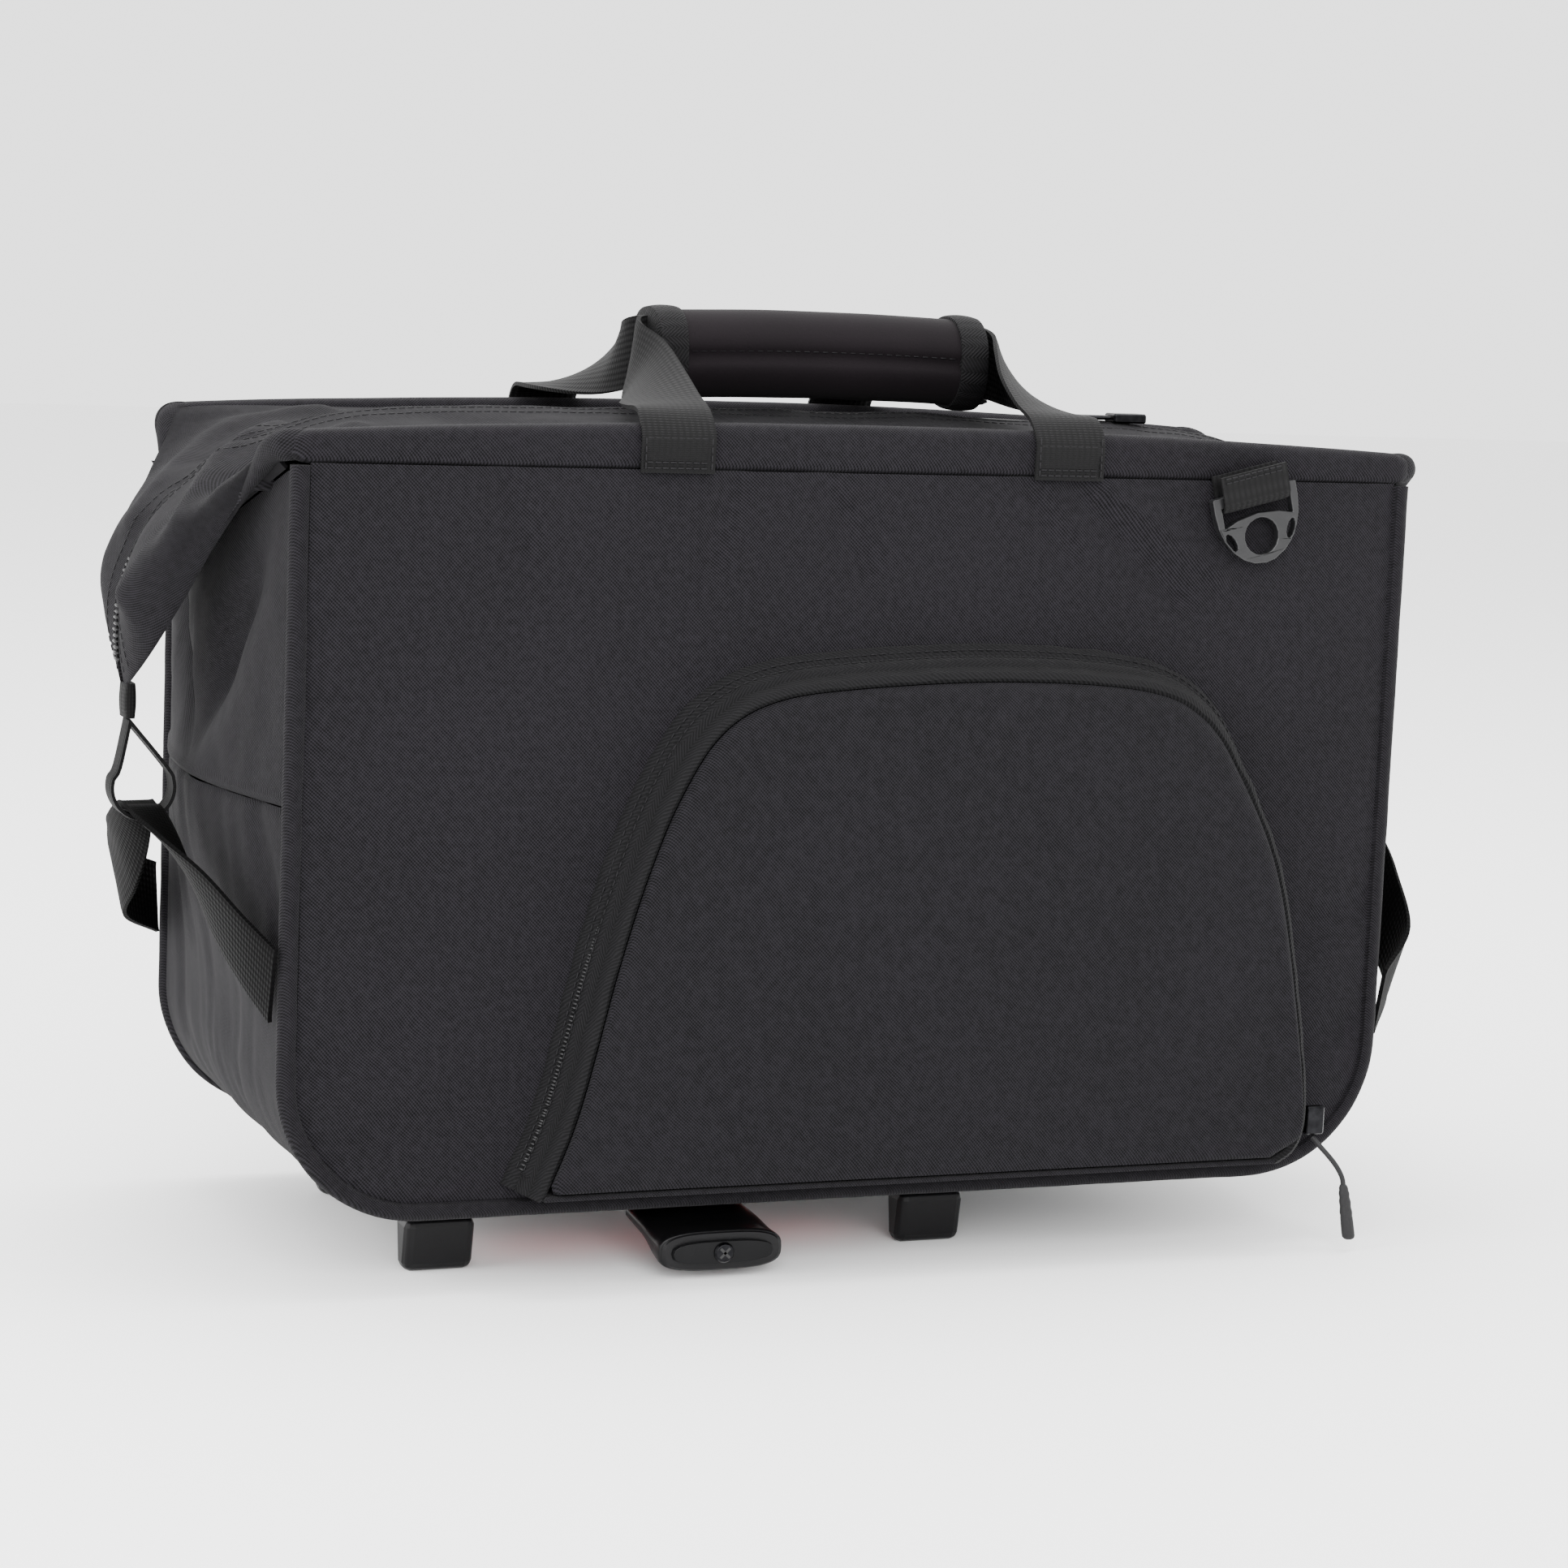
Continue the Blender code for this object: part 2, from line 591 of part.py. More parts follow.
def wing_end(side, word, webbing, root):
    """Zip end tab, the narrow loop that hangs from it and the side strap through the loop."""
    tip_x = HALF_WIDTH + WING_REACH
    tip_z = ZIP_TOP - WING_DROP
    tab_x = tip_x - ZIP_TAB_THICKNESS / 2
    tab_z = tip_z - GAP - ZIP_TAB_LENGTH / 2
    block("zip_tab_" + word, (ZIP_TAB_THICKNESS, ZIP_TAB_WIDTH, ZIP_TAB_LENGTH),
          (side * tab_x, 0.0, tab_z), EDGE_ROUNDING, webbing, root, 1)
    top = Vector((tab_x, 0.0, tip_z - 2 * GAP - ZIP_TAB_LENGTH - LOOP_THICKNESS / 2))
    middle = Vector((LOOP_X, 0.0, top.z - LOOP_HEIGHT + LOOP_RADIUS + LOOP_THICKNESS))
    loop = [top]
    for step in range(11):
        angle = (math.pi - LOOP_OPENING) / 2 - step / 10 * (2 * math.pi - LOOP_OPENING)
        loop.append(middle + LOOP_RADIUS * Vector((math.cos(angle), 0.0, math.sin(angle))))
    across = Vector((0.0, LOOP_WIDTH, 0.0))
    loop = [(Vector((side * p.x, p.y, p.z)), across) for p in loop]
    ribbon("wing_loop_" + word, loop, LOOP_THICKNESS, webbing, root, ends_meet=True)
    inner = LOOP_RADIUS - LOOP_THICKNESS / 2
    seat = middle.z - math.sqrt(inner**2 - (STRAP_PINCH / 2) ** 2) + GAP + WEBBING_THICKNESS / 2
    end_z = STRAP_END_HEIGHT_LEFT if side < 0 else STRAP_END_HEIGHT_RIGHT
    start = Vector((HALF_WIDTH + STRAP_STAND_OFF, HALF_DEPTH - PIPING_RADIUS, end_z))
    stop = Vector((LOOP_X, 0.0, seat))

    def half_strap(end, slack):
        rows = []
        for depth, out, more, up, wx, wy, wz in STRAP_ROWS:
            spread = (depth - STRAP_PINCH_FROM) / (STRAP_PINCH_TO - STRAP_PINCH_FROM)
            width = STRAP_PINCH + (WEBBING_WIDTH - STRAP_PINCH) * min(1.0, max(0.0, spread))
            rows.append((start.x + (stop.x - start.x) * (out + slack * more), end * start.y * depth,
                         start.z + (stop.z - start.z) * up, wx, -end * wy, wz, width))
        return [tuple(row) for row in smooth_points(rows, 2)]

    near = half_strap(-1, max(0, side))
    far = half_strap(1, max(0, -side))
    stations = []
    for x, y, z, wx, wy, wz, width in near + list(reversed(far[:-1])):
        turn = Vector((side * wx, wy, wz)).normalized()
        stations.append((Vector((side * x, y, z)), turn * width))
    ribbon("side_strap_" + word, stations, WEBBING_THICKNESS, webbing, root)


def handle_strap(side, word, webbing, root):
    """One strap: up one face of the rim, through the grip and down to the rim again."""
    inside = side * GRIP_SLOT / 4
    face = RIM_FRONT + GAP + WEBBING_THICKNESS / 2
    half_grip = GRIP_LENGTH / 2
    spread = HANDLE_SPREAD_FRONT if side < 0 else HANDLE_SPREAD_BACK

    def leg(end):
        grip_x = GRIP_CENTRE_X + end * half_grip
        turn_x = grip_x + end * HANDLE_TURN
        foot_x = HANDLE_CENTRE_X + end * spread / 2
        shoulder = RIM_SHOULDER + rim_arch(foot_x)
        crest = shoulder + HANDLE_CREST
        rows = [(grip_x - end * half_grip / 2, inside, GRIP_CENTRE_Z, 0.0, 1.0),
                (grip_x - end * HANDLE_TURN, inside, GRIP_CENTRE_Z, 0.0, 1.0),
                (grip_x + end * HANDLE_TURN / 3, inside, GRIP_CENTRE_Z, 0.0, 1.0)]
        for along, depth, up, wx, wz in HANDLE_ROWS:
            rows.append((turn_x + (foot_x - turn_x) * along, side * face * depth,
                         crest + (GRIP_CENTRE_Z - crest) * up, -end * wx, wz))
        for z in (shoulder - RIM_ROUNDING, RIM_BASE + RIM_HEIGHT / 2, RIM_BASE):
            rows.append((foot_x, side * face, z, -end, 0.0))
        points = smooth_points([(x, y, z, wx, wz, 0.0) for x, y, z, wx, wz in rows], 2)
        return [(Vector((p[0], p[1], p[2])), Vector((p[3], 0.0, p[4])).normalized()
                 * WEBBING_WIDTH) for p in points]

    stations = list(reversed(leg(-1))) + leg(1)
    ribbon("handle_strap_" + word, stations, WEBBING_THICKNESS, webbing, root)


def grip_axis(x):
    share = (x - GRIP_CENTRE_X) / (GRIP_LENGTH / 2)
    return GRIP_CENTRE_Z + GRIP_ARCH * (0.5 - share * share)


def sleeve(name, low, high, steps, outer, inner, material, root):
    """A tube along X from low to high, with oval walls of (depth, height, power)."""
    def rings(size, order):
        found = []
        for step in order:
            x = low + (high - low) * step / steps
            found.append([Vector((x, across, grip_axis(x) + up))
                          for across, up in oval(size[0], size[1], 16, size[2])])
        return found
    sections = rings(outer, range(steps + 1)) + rings(inner, range(steps, -1, -1))
    bm = lofted(sections, True, ends_meet=True)
    solid(name, bm, material, root)


def handle_grip(wrap, binding, root):
    end = GRIP_LENGTH / 2
    slot = (GRIP_SLOT, WEBBING_WIDTH + GRIP_ARCH + 4 * GAP, 8.0)
    sleeve("handle_grip", GRIP_CENTRE_X - end, GRIP_CENTRE_X + end, 8,
           (GRIP_DEPTH, GRIP_HEIGHT, 2.4), slot, wrap, root)
    ring_in = (GRIP_DEPTH + 2 * GAP, GRIP_HEIGHT + 2 * GAP, 2.4)
    ring_out = (ring_in[0] + 2 * BINDING_THICKNESS, ring_in[1] + 2 * BINDING_THICKNESS, 2.4)
    for side, word in ((-1, "left"), (1, "right")):
        edge = GRIP_CENTRE_X + side * end
        low, high = sorted((edge, edge - side * BINDING_LENGTH))
        sleeve("grip_binding_" + word, low, high, 2, ring_out, ring_in, binding, root)


def ring_cutter(name, outline, parent):
    """A prism through the ring, kept out of the model."""
    depth = 3 * RING_BAR
    bm = bmesh.new()
    face = bm.faces.new([bm.verts.new((x, -depth / 2, z)) for x, z in outline])
    grown = bmesh.ops.extrude_face_region(bm, geom=[face])
    moved = [item for item in grown["geom"] if isinstance(item, bmesh.types.BMVert)]
    bmesh.ops.translate(bm, verts=moved, vec=(0.0, depth, 0.0))
    bmesh.ops.recalc_face_normals(bm, faces=bm.faces)
    mesh = bpy.data.meshes.new(name)
    bm.to_mesh(mesh)
    bm.free()
    item = bpy.data.objects.new(name, mesh)
    item.parent = parent
    item.hide_render = True
    item.display_type = "WIRE"
    CUTTERS.objects.link(item)
    return item


def ellipse(x, z, radius_x, radius_z, turn, count):
    """(x, z) points round a turned ellipse."""
    points = []
    for i in range(count):
        angle = 2 * math.pi * i / count
        across, up = radius_x * math.cos(angle), radius_z * math.sin(angle)
        points.append((x + across * math.cos(turn) - up * math.sin(turn),
                       z + across * math.sin(turn) + up * math.cos(turn)))
    return points


def strap_ring(plastic, hinge):
    """The plastic ring round its bar, modelled hanging from the hinge's own origin."""
    half = RING_WIDTH / 2
    top = RING_BAR / 2
    outline = [(-half, top), (-half, -RING_BAR)]
    for step in range(1, 12):
        angle = math.pi + math.pi * step / 12
        outline.append((half * math.cos(angle),
                        -RING_BAR + (RING_LENGTH - RING_BAR) * math.sin(angle)))
    outline += [(half, -RING_BAR), (half, top)]
    ring = plate("strap_ring", outline, -RING_BAR / 2, RING_BAR, plastic, hinge)
    slot_half = RING_SLOT_WIDTH / 2
    slot_foot = -RING_BAR / 2 - RING_SLOT_HEIGHT
    slot = [(-slot_half, -RING_BAR / 2), (slot_half, -RING_BAR / 2)]
    for along in (1.0, 0.6, 0.0, -0.6, -1.0):
        rise = RING_BRIDGE_RISE * (0.6 - along * along)
        slot.append((slot_half * along, slot_foot + rise))
    eye = ellipse(0.0, RING_EYE_WALL + RING_EYE_RADIUS - RING_LENGTH, RING_EYE_RADIUS,
                  RING_EYE_RADIUS, 0.0, 18)
    cutters = [ring_cutter("cut_slot", slot, hinge), ring_cutter("cut_eye", eye, hinge)]
    for side, word in ((-1, "left"), (1, "right")):
        opening = ellipse(side * RING_SIDE_SLOT_X, slot_foot - RING_SIDE_SLOT_DROP,
                          RING_SIDE_SLOT_WIDTH / 2, RING_SIDE_SLOT_LENGTH / 2,
                          -side * RING_SIDE_SLOT_TURN, 10)
        cutters.append(ring_cutter("cut_" + word, opening, hinge))
    for cutter in cutters:
        cut = ring.modifiers.new(cutter.name, "BOOLEAN")
        cut.operation = "DIFFERENCE"
        cut.solver = "EXACT"
        cut.object = cutter


def ring_tab(webbing, anchor):
    """A doubled webbing tab round the ring's bar; its back ply is sewn on the rim."""
    clear = RING_BAR / math.sqrt(2) + GAP
    reach = clear + RING_TAB_WALL / 2
    path = [(reach, RING_TAB_RISE)]
    for step in range(9):
        angle = -math.pi * step / 8
        path.append((reach * math.cos(angle), reach * math.sin(angle)))
    path.append((-reach, RING_TAB_RISE))
    across = Vector((WEBBING_WIDTH, 0.0, 0.0))
    stations = [(Vector((0.0, y, z)), across) for y, z in path]
    ribbon("ring_tab", stations, RING_TAB_WALL, webbing, anchor)


def pocket_outline(grow, flare=0.0):
    """(x, z) round the pocket's arch; it grows outwards there, and shrinks along its foot too."""
    foot = PANEL_BOTTOM + POCKET_FOOT - min(0.0, grow)
    rows = smooth_points([(POCKET_LEFT + POCKET_WIDTH * along,
                           PANEL_BOTTOM + POCKET_FOOT + POCKET_HEIGHT * up, spread)
                          for along, up, spread in POCKET_ROWS], 2)
    found = []
    for i, row in enumerate(rows):
        way = rows[min(i + 1, len(rows) - 1)] - rows[max(i - 1, 0)]
        outward = Vector((-way.y, way.x)).normalized()
        spot = Vector((row.x, row.y)) + outward * (grow + flare * row.z)
        found.append((spot.x, max(spot.y, foot)))
    return found


def pocket(fabric, tape, zip_coil, root):
    """Padded pocket face, the band that slopes from it to the panel and the zip coil on the band."""
    face_y = -(HALF_DEPTH + POCKET_RISE)
    base_y = -(PANEL_FRONT + GAP)
    plate("pocket_face", pocket_outline(-POCKET_WALL - GAP), face_y, POCKET_FACE_WALL, fabric, root)
    sections = []
    for share in (0.0, 0.5, 1.0):
        y = face_y + (base_y - face_y) * share
        sections.append([Vector((x, y, z)) for x, z in pocket_outline(0.0, POCKET_FLARE * share)])
    for share in (1.0, 0.5, 0.0):
        y = face_y + (base_y - face_y) * share
        sections.append([Vector((x, y, z))
                         for x, z in pocket_outline(-POCKET_WALL, POCKET_FLARE * share)])
    solid("pocket_band", lofted(sections, True, ends_meet=True), tape, root)
    y = face_y + (base_y - face_y) * POCKET_ZIP_SHARE
    way = Vector((0.0, base_y - face_y, 0.0)) * POCKET_ZIP_SPAN
    path = pocket_outline(GAP + POCKET_ZIP_THICKNESS, POCKET_FLARE * POCKET_ZIP_SHARE)
    outer = pocket_outline(GAP + POCKET_ZIP_THICKNESS,
                           POCKET_FLARE * (POCKET_ZIP_SHARE + POCKET_ZIP_SPAN))
    stations = []
    for (x, z), (ox, oz) in list(zip(path, outer))[1:-1]:
        across = (Vector((ox, 0.0, oz)) - Vector((x, 0.0, z)) + way).normalized()
        stations.append((Vector((x, y, z)), across * POCKET_ZIP_WIDTH))
    ribbon("pocket_zip", stations, POCKET_ZIP_THICKNESS, zip_coil, root)


def puller(metal, rubber, root):
    """Slider on the pocket's band, its cord and the moulded grip that hangs past the corner."""
    route = smooth_points([(HALF_WIDTH - inwards, -HALF_DEPTH - forward, PANEL_BOTTOM + up)
                           for inwards, forward, up in PULLER_ROUTE], 3)
    eye = route[0]
    block("pocket_slider", (SLIDER_WIDTH, SLIDER_THICKNESS, SLIDER_LENGTH),
          (eye.x, eye.y, eye.z + GAP + PULLER_CORD_DIAMETER / 2 + SLIDER_LENGTH / 2),
          EDGE_ROUNDING, metal, root, 1)
    tube("puller_cord", route, PULLER_CORD_DIAMETER / 2, 2, rubber, root)
    way = (route[-1] - route[-2]).normalized()
    top = route[-1] + way * GAP
    sections = []
    for along, width in PULLER_GRIP_ROWS:
        middle = top + way * PULLER_GRIP_LENGTH * along
        broad = PULLER_GRIP_WIDTH * width
        sections.append([middle + Vector((across, up, 0.0))
                         for across, up in oval(broad, broad * PULLER_GRIP_FLATNESS, 10, 2.4)])
    solid("puller_grip", lofted(sections, True), rubber, root)


def main_slider(metal, root):
    """Slider and pull of the top zip, lying along the coil."""
    slider_z = flap_height(MAIN_SLIDER_X, 0.0) + 2 * GAP + MAIN_SLIDER_THICKNESS / 2
    block("main_slider", (MAIN_SLIDER_LENGTH, MAIN_SLIDER_WIDTH, MAIN_SLIDER_THICKNESS),
          (MAIN_SLIDER_X, 0.0, slider_z), EDGE_ROUNDING, metal, root, 1)
    pull_x = MAIN_SLIDER_X - MAIN_SLIDER_LENGTH / 2 - GAP - MAIN_PULL_LENGTH / 2
    pull_z = flap_height(pull_x - MAIN_PULL_LENGTH / 2, 0.0) + 2 * GAP + MAIN_PULL_THICKNESS / 2
    block("main_pull", (MAIN_PULL_LENGTH, MAIN_PULL_WIDTH, MAIN_PULL_THICKNESS),
          (pull_x, 0.0, pull_z), EDGE_ROUNDING, metal, root, 1)


def adapter(plastic, root):
    """Flat plate under the bag and the four feet it stands on."""
    block("adapter_plate", (ADAPTER_WIDTH, ADAPTER_DEPTH, ADAPTER_THICKNESS),
          (ADAPTER_CENTRE_X, 0.0, ADAPTER_TOP - ADAPTER_THICKNESS / 2), ADAPTER_ROUNDING,
          plastic, root)
    height = ADAPTER_UNDERSIDE - GAP
    for along, side_word in ((-1, "left"), (1, "right")):
        for deep, depth_word in ((-1, "front"), (1, "back")):
            bm = bmesh.new()
            bmesh.ops.create_cube(bm, size=1.0)
            bmesh.ops.scale(bm, vec=(FOOT_WIDTH, FOOT_DEPTH, height), verts=bm.verts)
            toes = [vert for vert in bm.verts if vert.co.z < 0]
            bmesh.ops.scale(bm, vec=(1.0, FOOT_TOE_DEPTH / FOOT_DEPTH, 1.0), verts=toes)
            bmesh.ops.bevel(bm, geom=bm.edges, offset=FOOT_ROUNDING, segments=2, profile=0.5,
                            affect="EDGES", clamp_overlap=True)
            spot = (ADAPTER_CENTRE_X + along * FOOT_SPACING_X / 2, deep * FOOT_SPACING_Y / 2,
                    height / 2)
            solid("foot_" + depth_word + "_" + side_word, bm, plastic, root, spot)


def release(plastic, metal, red, slide):
    """Pull handle with its end cap and screw, and the lock plate that it draws forward."""
    face_y = -HALF_DEPTH
    top = ADAPTER_UNDERSIDE - GAP
    sections = []
    for back, width, height, rise in PULL_ROWS:
        tall = PULL_HEIGHT * height
        middle = PULL_FACE_Z + (top - tall / 2 - PULL_FACE_Z) * rise
        y = face_y + PULL_LENGTH * back
        sections.append([Vector((ADAPTER_CENTRE_X + across, y, middle + up))
                         for across, up in oval(PULL_WIDTH * width, tall, 20, 3.2)])
    solid("release_handle", lofted(sections, True), plastic, slide)
    cap_width = PULL_WIDTH * PULL_ROWS[0][1] - 2 * PULL_CAP_MARGIN
    cap_height = PULL_HEIGHT * PULL_ROWS[0][2] - 2 * PULL_CAP_MARGIN
    cap_back = face_y - GAP
    rings = []
    for y, share in ((cap_back, 1.0), (cap_back - PULL_CAP_THICKNESS, 0.97)):
        rings.append([Vector((ADAPTER_CENTRE_X + across, y, PULL_FACE_Z + up))
                      for across, up in oval(cap_width * share, cap_height * share, 20, 3.0)])
    solid("release_cap", lofted(rings, True), plastic, slide)
    bm = bmesh.new()
    bmesh.ops.create_cone(bm, cap_ends=True, segments=16, radius1=SCREW_RADIUS,
                          radius2=SCREW_RADIUS * 0.8, depth=SCREW_HEIGHT)
    bmesh.ops.rotate(bm, verts=bm.verts, matrix=Matrix.Rotation(math.pi / 2, 3, "X"))
    spot = (ADAPTER_CENTRE_X, cap_back - PULL_CAP_THICKNESS - GAP - SCREW_HEIGHT / 2, PULL_FACE_Z)
    solid("release_screw", bm, metal, slide, spot)
    block("lock_slide", (LOCK_WIDTH, LOCK_DEPTH, LOCK_THICKNESS),
          (ADAPTER_CENTRE_X, face_y + PULL_LENGTH + GAP + LOCK_DEPTH / 2, top - LOCK_THICKNESS / 2),
          EDGE_ROUNDING, red, slide, 1)


def build():
    fabric = surface("padded_fabric", (0.020, 0.020, 0.022), 0.85)
    soft = surface("soft_fabric", (0.022, 0.022, 0.024), 0.85)
    trim = surface("piping_fabric", (0.016, 0.016, 0.018), 0.8)
    tape = surface("herringbone_tape", (0.014, 0.014, 0.015), 0.75)
    webbing = surface("webbing", (0.018, 0.018, 0.019), 0.7)
    neoprene = surface("neoprene", (0.026, 0.021, 0.023), 0.75)
    coil = surface("zip_coil", (0.015, 0.015, 0.016), 0.5)
    plastic = surface("black_plastic", (0.022, 0.022, 0.024), 0.45)
    red = surface("red_plastic", (0.75, 0.03, 0.05), 0.4)
    metal = surface("dark_metal", (0.10, 0.10, 0.11), 0.35, 1.0)
    rubber = surface("soft_rubber", (0.018, 0.018, 0.019), 0.6)
    root = empty("bag", (0.0, BOX_SHIFT, 0.0))
    for side, word in ((-1, "front"), (1, "back")):
        padded_panel(side, word, fabric, trim, root)
        rim(side, word, fabric, root)
        top_flap(side, word, soft, root)
        handle_strap(side, word, webbing, root)
    lower_gusset(fabric, root)
    for side, word in ((-1, "left"), (1, "right")):
        side_upper(side, word, soft, root)
        wing_end(side, word, webbing, root)
    main_zip(coil, root)
    main_slider(metal, root)
    handle_grip(neoprene, tape, root)
    wall = RING_BAR / math.sqrt(2) + GAP + RING_TAB_WALL
    axis = (RING_X, -(RIM_FRONT + GAP + wall), PANEL_TOP - RING_DROP)
    anchor = empty("ring_anchor", axis, root, RING_TILT)
    hinge = empty("ring_hinge", (0.0, 0.0, 0.0), anchor)
    ring_tab(webbing, anchor)
    strap_ring(plastic, hinge)
    pocket(fabric, tape, coil, root)
    puller(metal, rubber, root)
    adapter(plastic, root)
    slide = empty("release_slide", (0.0, 0.0, 0.0), root)
    release(plastic, metal, red, slide)


clear_scene()
PARTS = new_collection("bicycle_rack_bag")
CUTTERS = new_collection("cutters")
build()
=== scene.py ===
"""A black fabric rack bag for a bicycle, dressed in cloth, webbing, zips and moulded plastic."""

import math

import bmesh
import bpy
from mathutils import Matrix, Vector, noise


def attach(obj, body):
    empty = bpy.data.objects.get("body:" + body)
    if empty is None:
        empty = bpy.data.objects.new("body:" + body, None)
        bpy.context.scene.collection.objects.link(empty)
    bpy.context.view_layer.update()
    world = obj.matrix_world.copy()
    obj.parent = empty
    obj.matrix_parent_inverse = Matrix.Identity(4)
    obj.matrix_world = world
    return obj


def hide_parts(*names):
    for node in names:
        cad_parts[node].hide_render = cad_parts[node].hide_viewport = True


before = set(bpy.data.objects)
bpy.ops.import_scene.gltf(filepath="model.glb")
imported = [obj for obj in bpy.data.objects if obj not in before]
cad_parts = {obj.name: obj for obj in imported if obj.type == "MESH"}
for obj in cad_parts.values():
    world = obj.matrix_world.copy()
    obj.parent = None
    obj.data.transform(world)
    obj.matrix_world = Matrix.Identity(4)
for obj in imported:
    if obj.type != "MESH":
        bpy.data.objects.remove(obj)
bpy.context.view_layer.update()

# The view: a long lens from the front left, a little above the bag and turned slightly, as the
# bag was photographed.
azimuth, elevation, turn = math.radians(-21.82), math.radians(7.79), math.radians(2.406)
backward = Vector((math.sin(azimuth) * math.cos(elevation),
                   -math.cos(azimuth) * math.cos(elevation), math.sin(elevation)))
level = (-backward).cross(Vector((0, 0, 1))).normalized()
upright = level.cross(-backward)
eye_right = level * math.cos(turn) + upright * math.sin(turn)
eye_up = upright * math.cos(turn) - level * math.sin(turn)
lens = bpy.data.cameras.new("camera")
FOCAL_PIXELS, PHOTO_PIXELS = 4787.9, 1932
lens.sensor_width = 36.0
lens.lens = 36.0 * FOCAL_PIXELS / PHOTO_PIXELS
lens.clip_start = 0.01
camera = bpy.data.objects.new("camera", lens)
camera.matrix_world = Matrix((eye_right, eye_up, backward)).transposed().to_4x4()
camera.matrix_world.translation = (-0.4976, -1.24725, 0.3371)
bpy.context.scene.collection.objects.link(camera)
bpy.context.scene.camera = camera


# How finishes are written: arithmetic on a Signal adds Math nodes, and every other node comes from
# Finish.node. Each finish ends in one Principled shader.
class Signal:
    """A number or colour on its way through a finish."""

    def __init__(self, finish, socket):
        self.finish = finish
        self.socket = socket

    def maths(self, operation, *values):
        return self.finish.node("Math", {"operation": operation},
                                dict(enumerate((self, *values))))

    def __add__(self, other):
        return self.maths("ADD", other)

    def __sub__(self, other):
        return self.maths("SUBTRACT", other)

    def __mul__(self, other):
        return self.maths("MULTIPLY", other)

    def __truediv__(self, other):
        return self.maths("DIVIDE", other)

    def fold(self, length):
        return self.maths("PINGPONG", length)


class Finish:
    """A material under construction."""

    def __init__(self, name, roughness, metallic=0.0, sheen=0.0, shine=0.5):
        self.material = bpy.data.materials.new(name)
        self.material.use_nodes = True
        self.tree = self.material.node_tree
        self.shader = self.tree.nodes["Principled BSDF"]
        for socket, value in (("Roughness", roughness), ("Metallic", metallic),
                              ("Specular IOR Level", shine), ("Sheen Weight", sheen),
                              ("Sheen Roughness", 0.5)):
            self.shader.inputs[socket].default_value = value

    def feed(self, socket, value):
        if isinstance(value, Signal):
            self.tree.links.new(value.socket, socket)
        elif isinstance(value, tuple) and len(value) == 3 and socket.type == "RGBA":
            socket.default_value = (*value, 1.0)
        else:
            socket.default_value = value

    def node(self, kind, settings=None, sockets=None, output=0):
        made = self.tree.nodes.new("ShaderNode" + kind)
        for name, value in (settings or {}).items():
            setattr(made, name, value)
        for name, value in (sockets or {}).items():
            self.feed(made.inputs[name], value)
        return Signal(self, made.outputs[output])

    def place(self):
        """The object's own coordinates."""
        return self.node("TexCoord", output="Object")

    def split(self, vector):
        made = self.node("SeparateXYZ", sockets={0: vector})
        outputs = made.socket.node.outputs
        return [Signal(self, outputs[i]) for i in range(3)]

    def along(self):
        """(along, across) in metres, from the piece's own UV map."""
        return self.split(self.node("UVMap", {"uv_map": "cut"}))[:2]

    def mottle(self, spot, scale, detail=2.0):
        return self.node("TexNoise", sockets={"Vector": spot, "Scale": scale, "Detail": detail})

    def waves(self, way, pitch, wander):
        return (way * (2 * math.pi / pitch) + wander).maths("SINE")

    def blend(self, share, dark, light):
        return self.node("Mix", {"data_type": "RGBA"}, {0: share, 6: dark, 7: light}, output=2)

    def close(self, colour, height=None, distance=0.0001, roughness=None):
        self.feed(self.shader.inputs["Base Color"], colour)
        if roughness is not None:
            self.feed(self.shader.inputs["Roughness"], roughness)
        if height is not None:
            self.feed(self.shader.inputs["Normal"], self.node("Bump", sockets={
                "Height": height, "Distance": distance, "Strength": 1.0}))
        return self.material


def twill(name, dark, light, pitch=0.00118, folded=False):
    """Diagonal woven cloth. On foam its ribs lean the same way all round the bag; on a folded
    piece they follow the cloth as it was cut."""
    finish = Finish(name, 0.82, sheen=0.02, shine=0.07)
    spot = finish.place()
    x, y, z = finish.split(spot)
    if folded:
        (z, x), y = finish.along(), y * 0.0
    wander = finish.mottle(spot, 900.0)
    ribs = finish.waves(x + y * 0.9 + z, pitch, wander * 1.2)
    yarns = finish.waves(x - y * 0.35 - z * 0.9, pitch * 0.9, wander * 1.6)
    slub = finish.mottle(spot, 420.0, 2.0)
    patches = finish.mottle(spot, 14.0, 3.0)
    weave = ribs * 0.40 + yarns * 0.20 + slub * 0.70
    return finish.close(finish.blend(weave + patches * 0.35, dark, light), weave, 0.00016,
                        patches * 0.16 + 0.74)


def speckled(name, dark, light, patch, rough, wear=0.0, grain=None, relief=0.00005, shine=0.5,
             metallic=0.0):
    """A plain finish. patch and grain are (scale, detail) of its mottled colour and of its fine
    relief, which is the patch again where no grain is given; wear roughens it with the patch."""
    finish = Finish(name, rough, metallic, shine=shine)
    spot = finish.place()
    patches = finish.mottle(spot, *patch)
    height = finish.mottle(spot, *grain) if grain else patches
    return finish.close(finish.blend(patches, dark, light), height, relief,
                        patches * wear + rough if wear else None)


padded_twill = twill("padded_twill", (0.0006, 0.0005, 0.0007), (0.0116, 0.0105, 0.0129))
soft_twill = twill("soft_twill", (0.0006, 0.0006, 0.0007), (0.0114, 0.0105, 0.0125), folded=True)
# The pocket's twill is the panels' twill painted a little darker: painted shade on the tilted
# pocket.
pocket_twill_painted_shade = twill("pocket_twill_painted_shade", (0.0005, 0.0005, 0.0006), (0.0102, 0.0093, 0.0114))


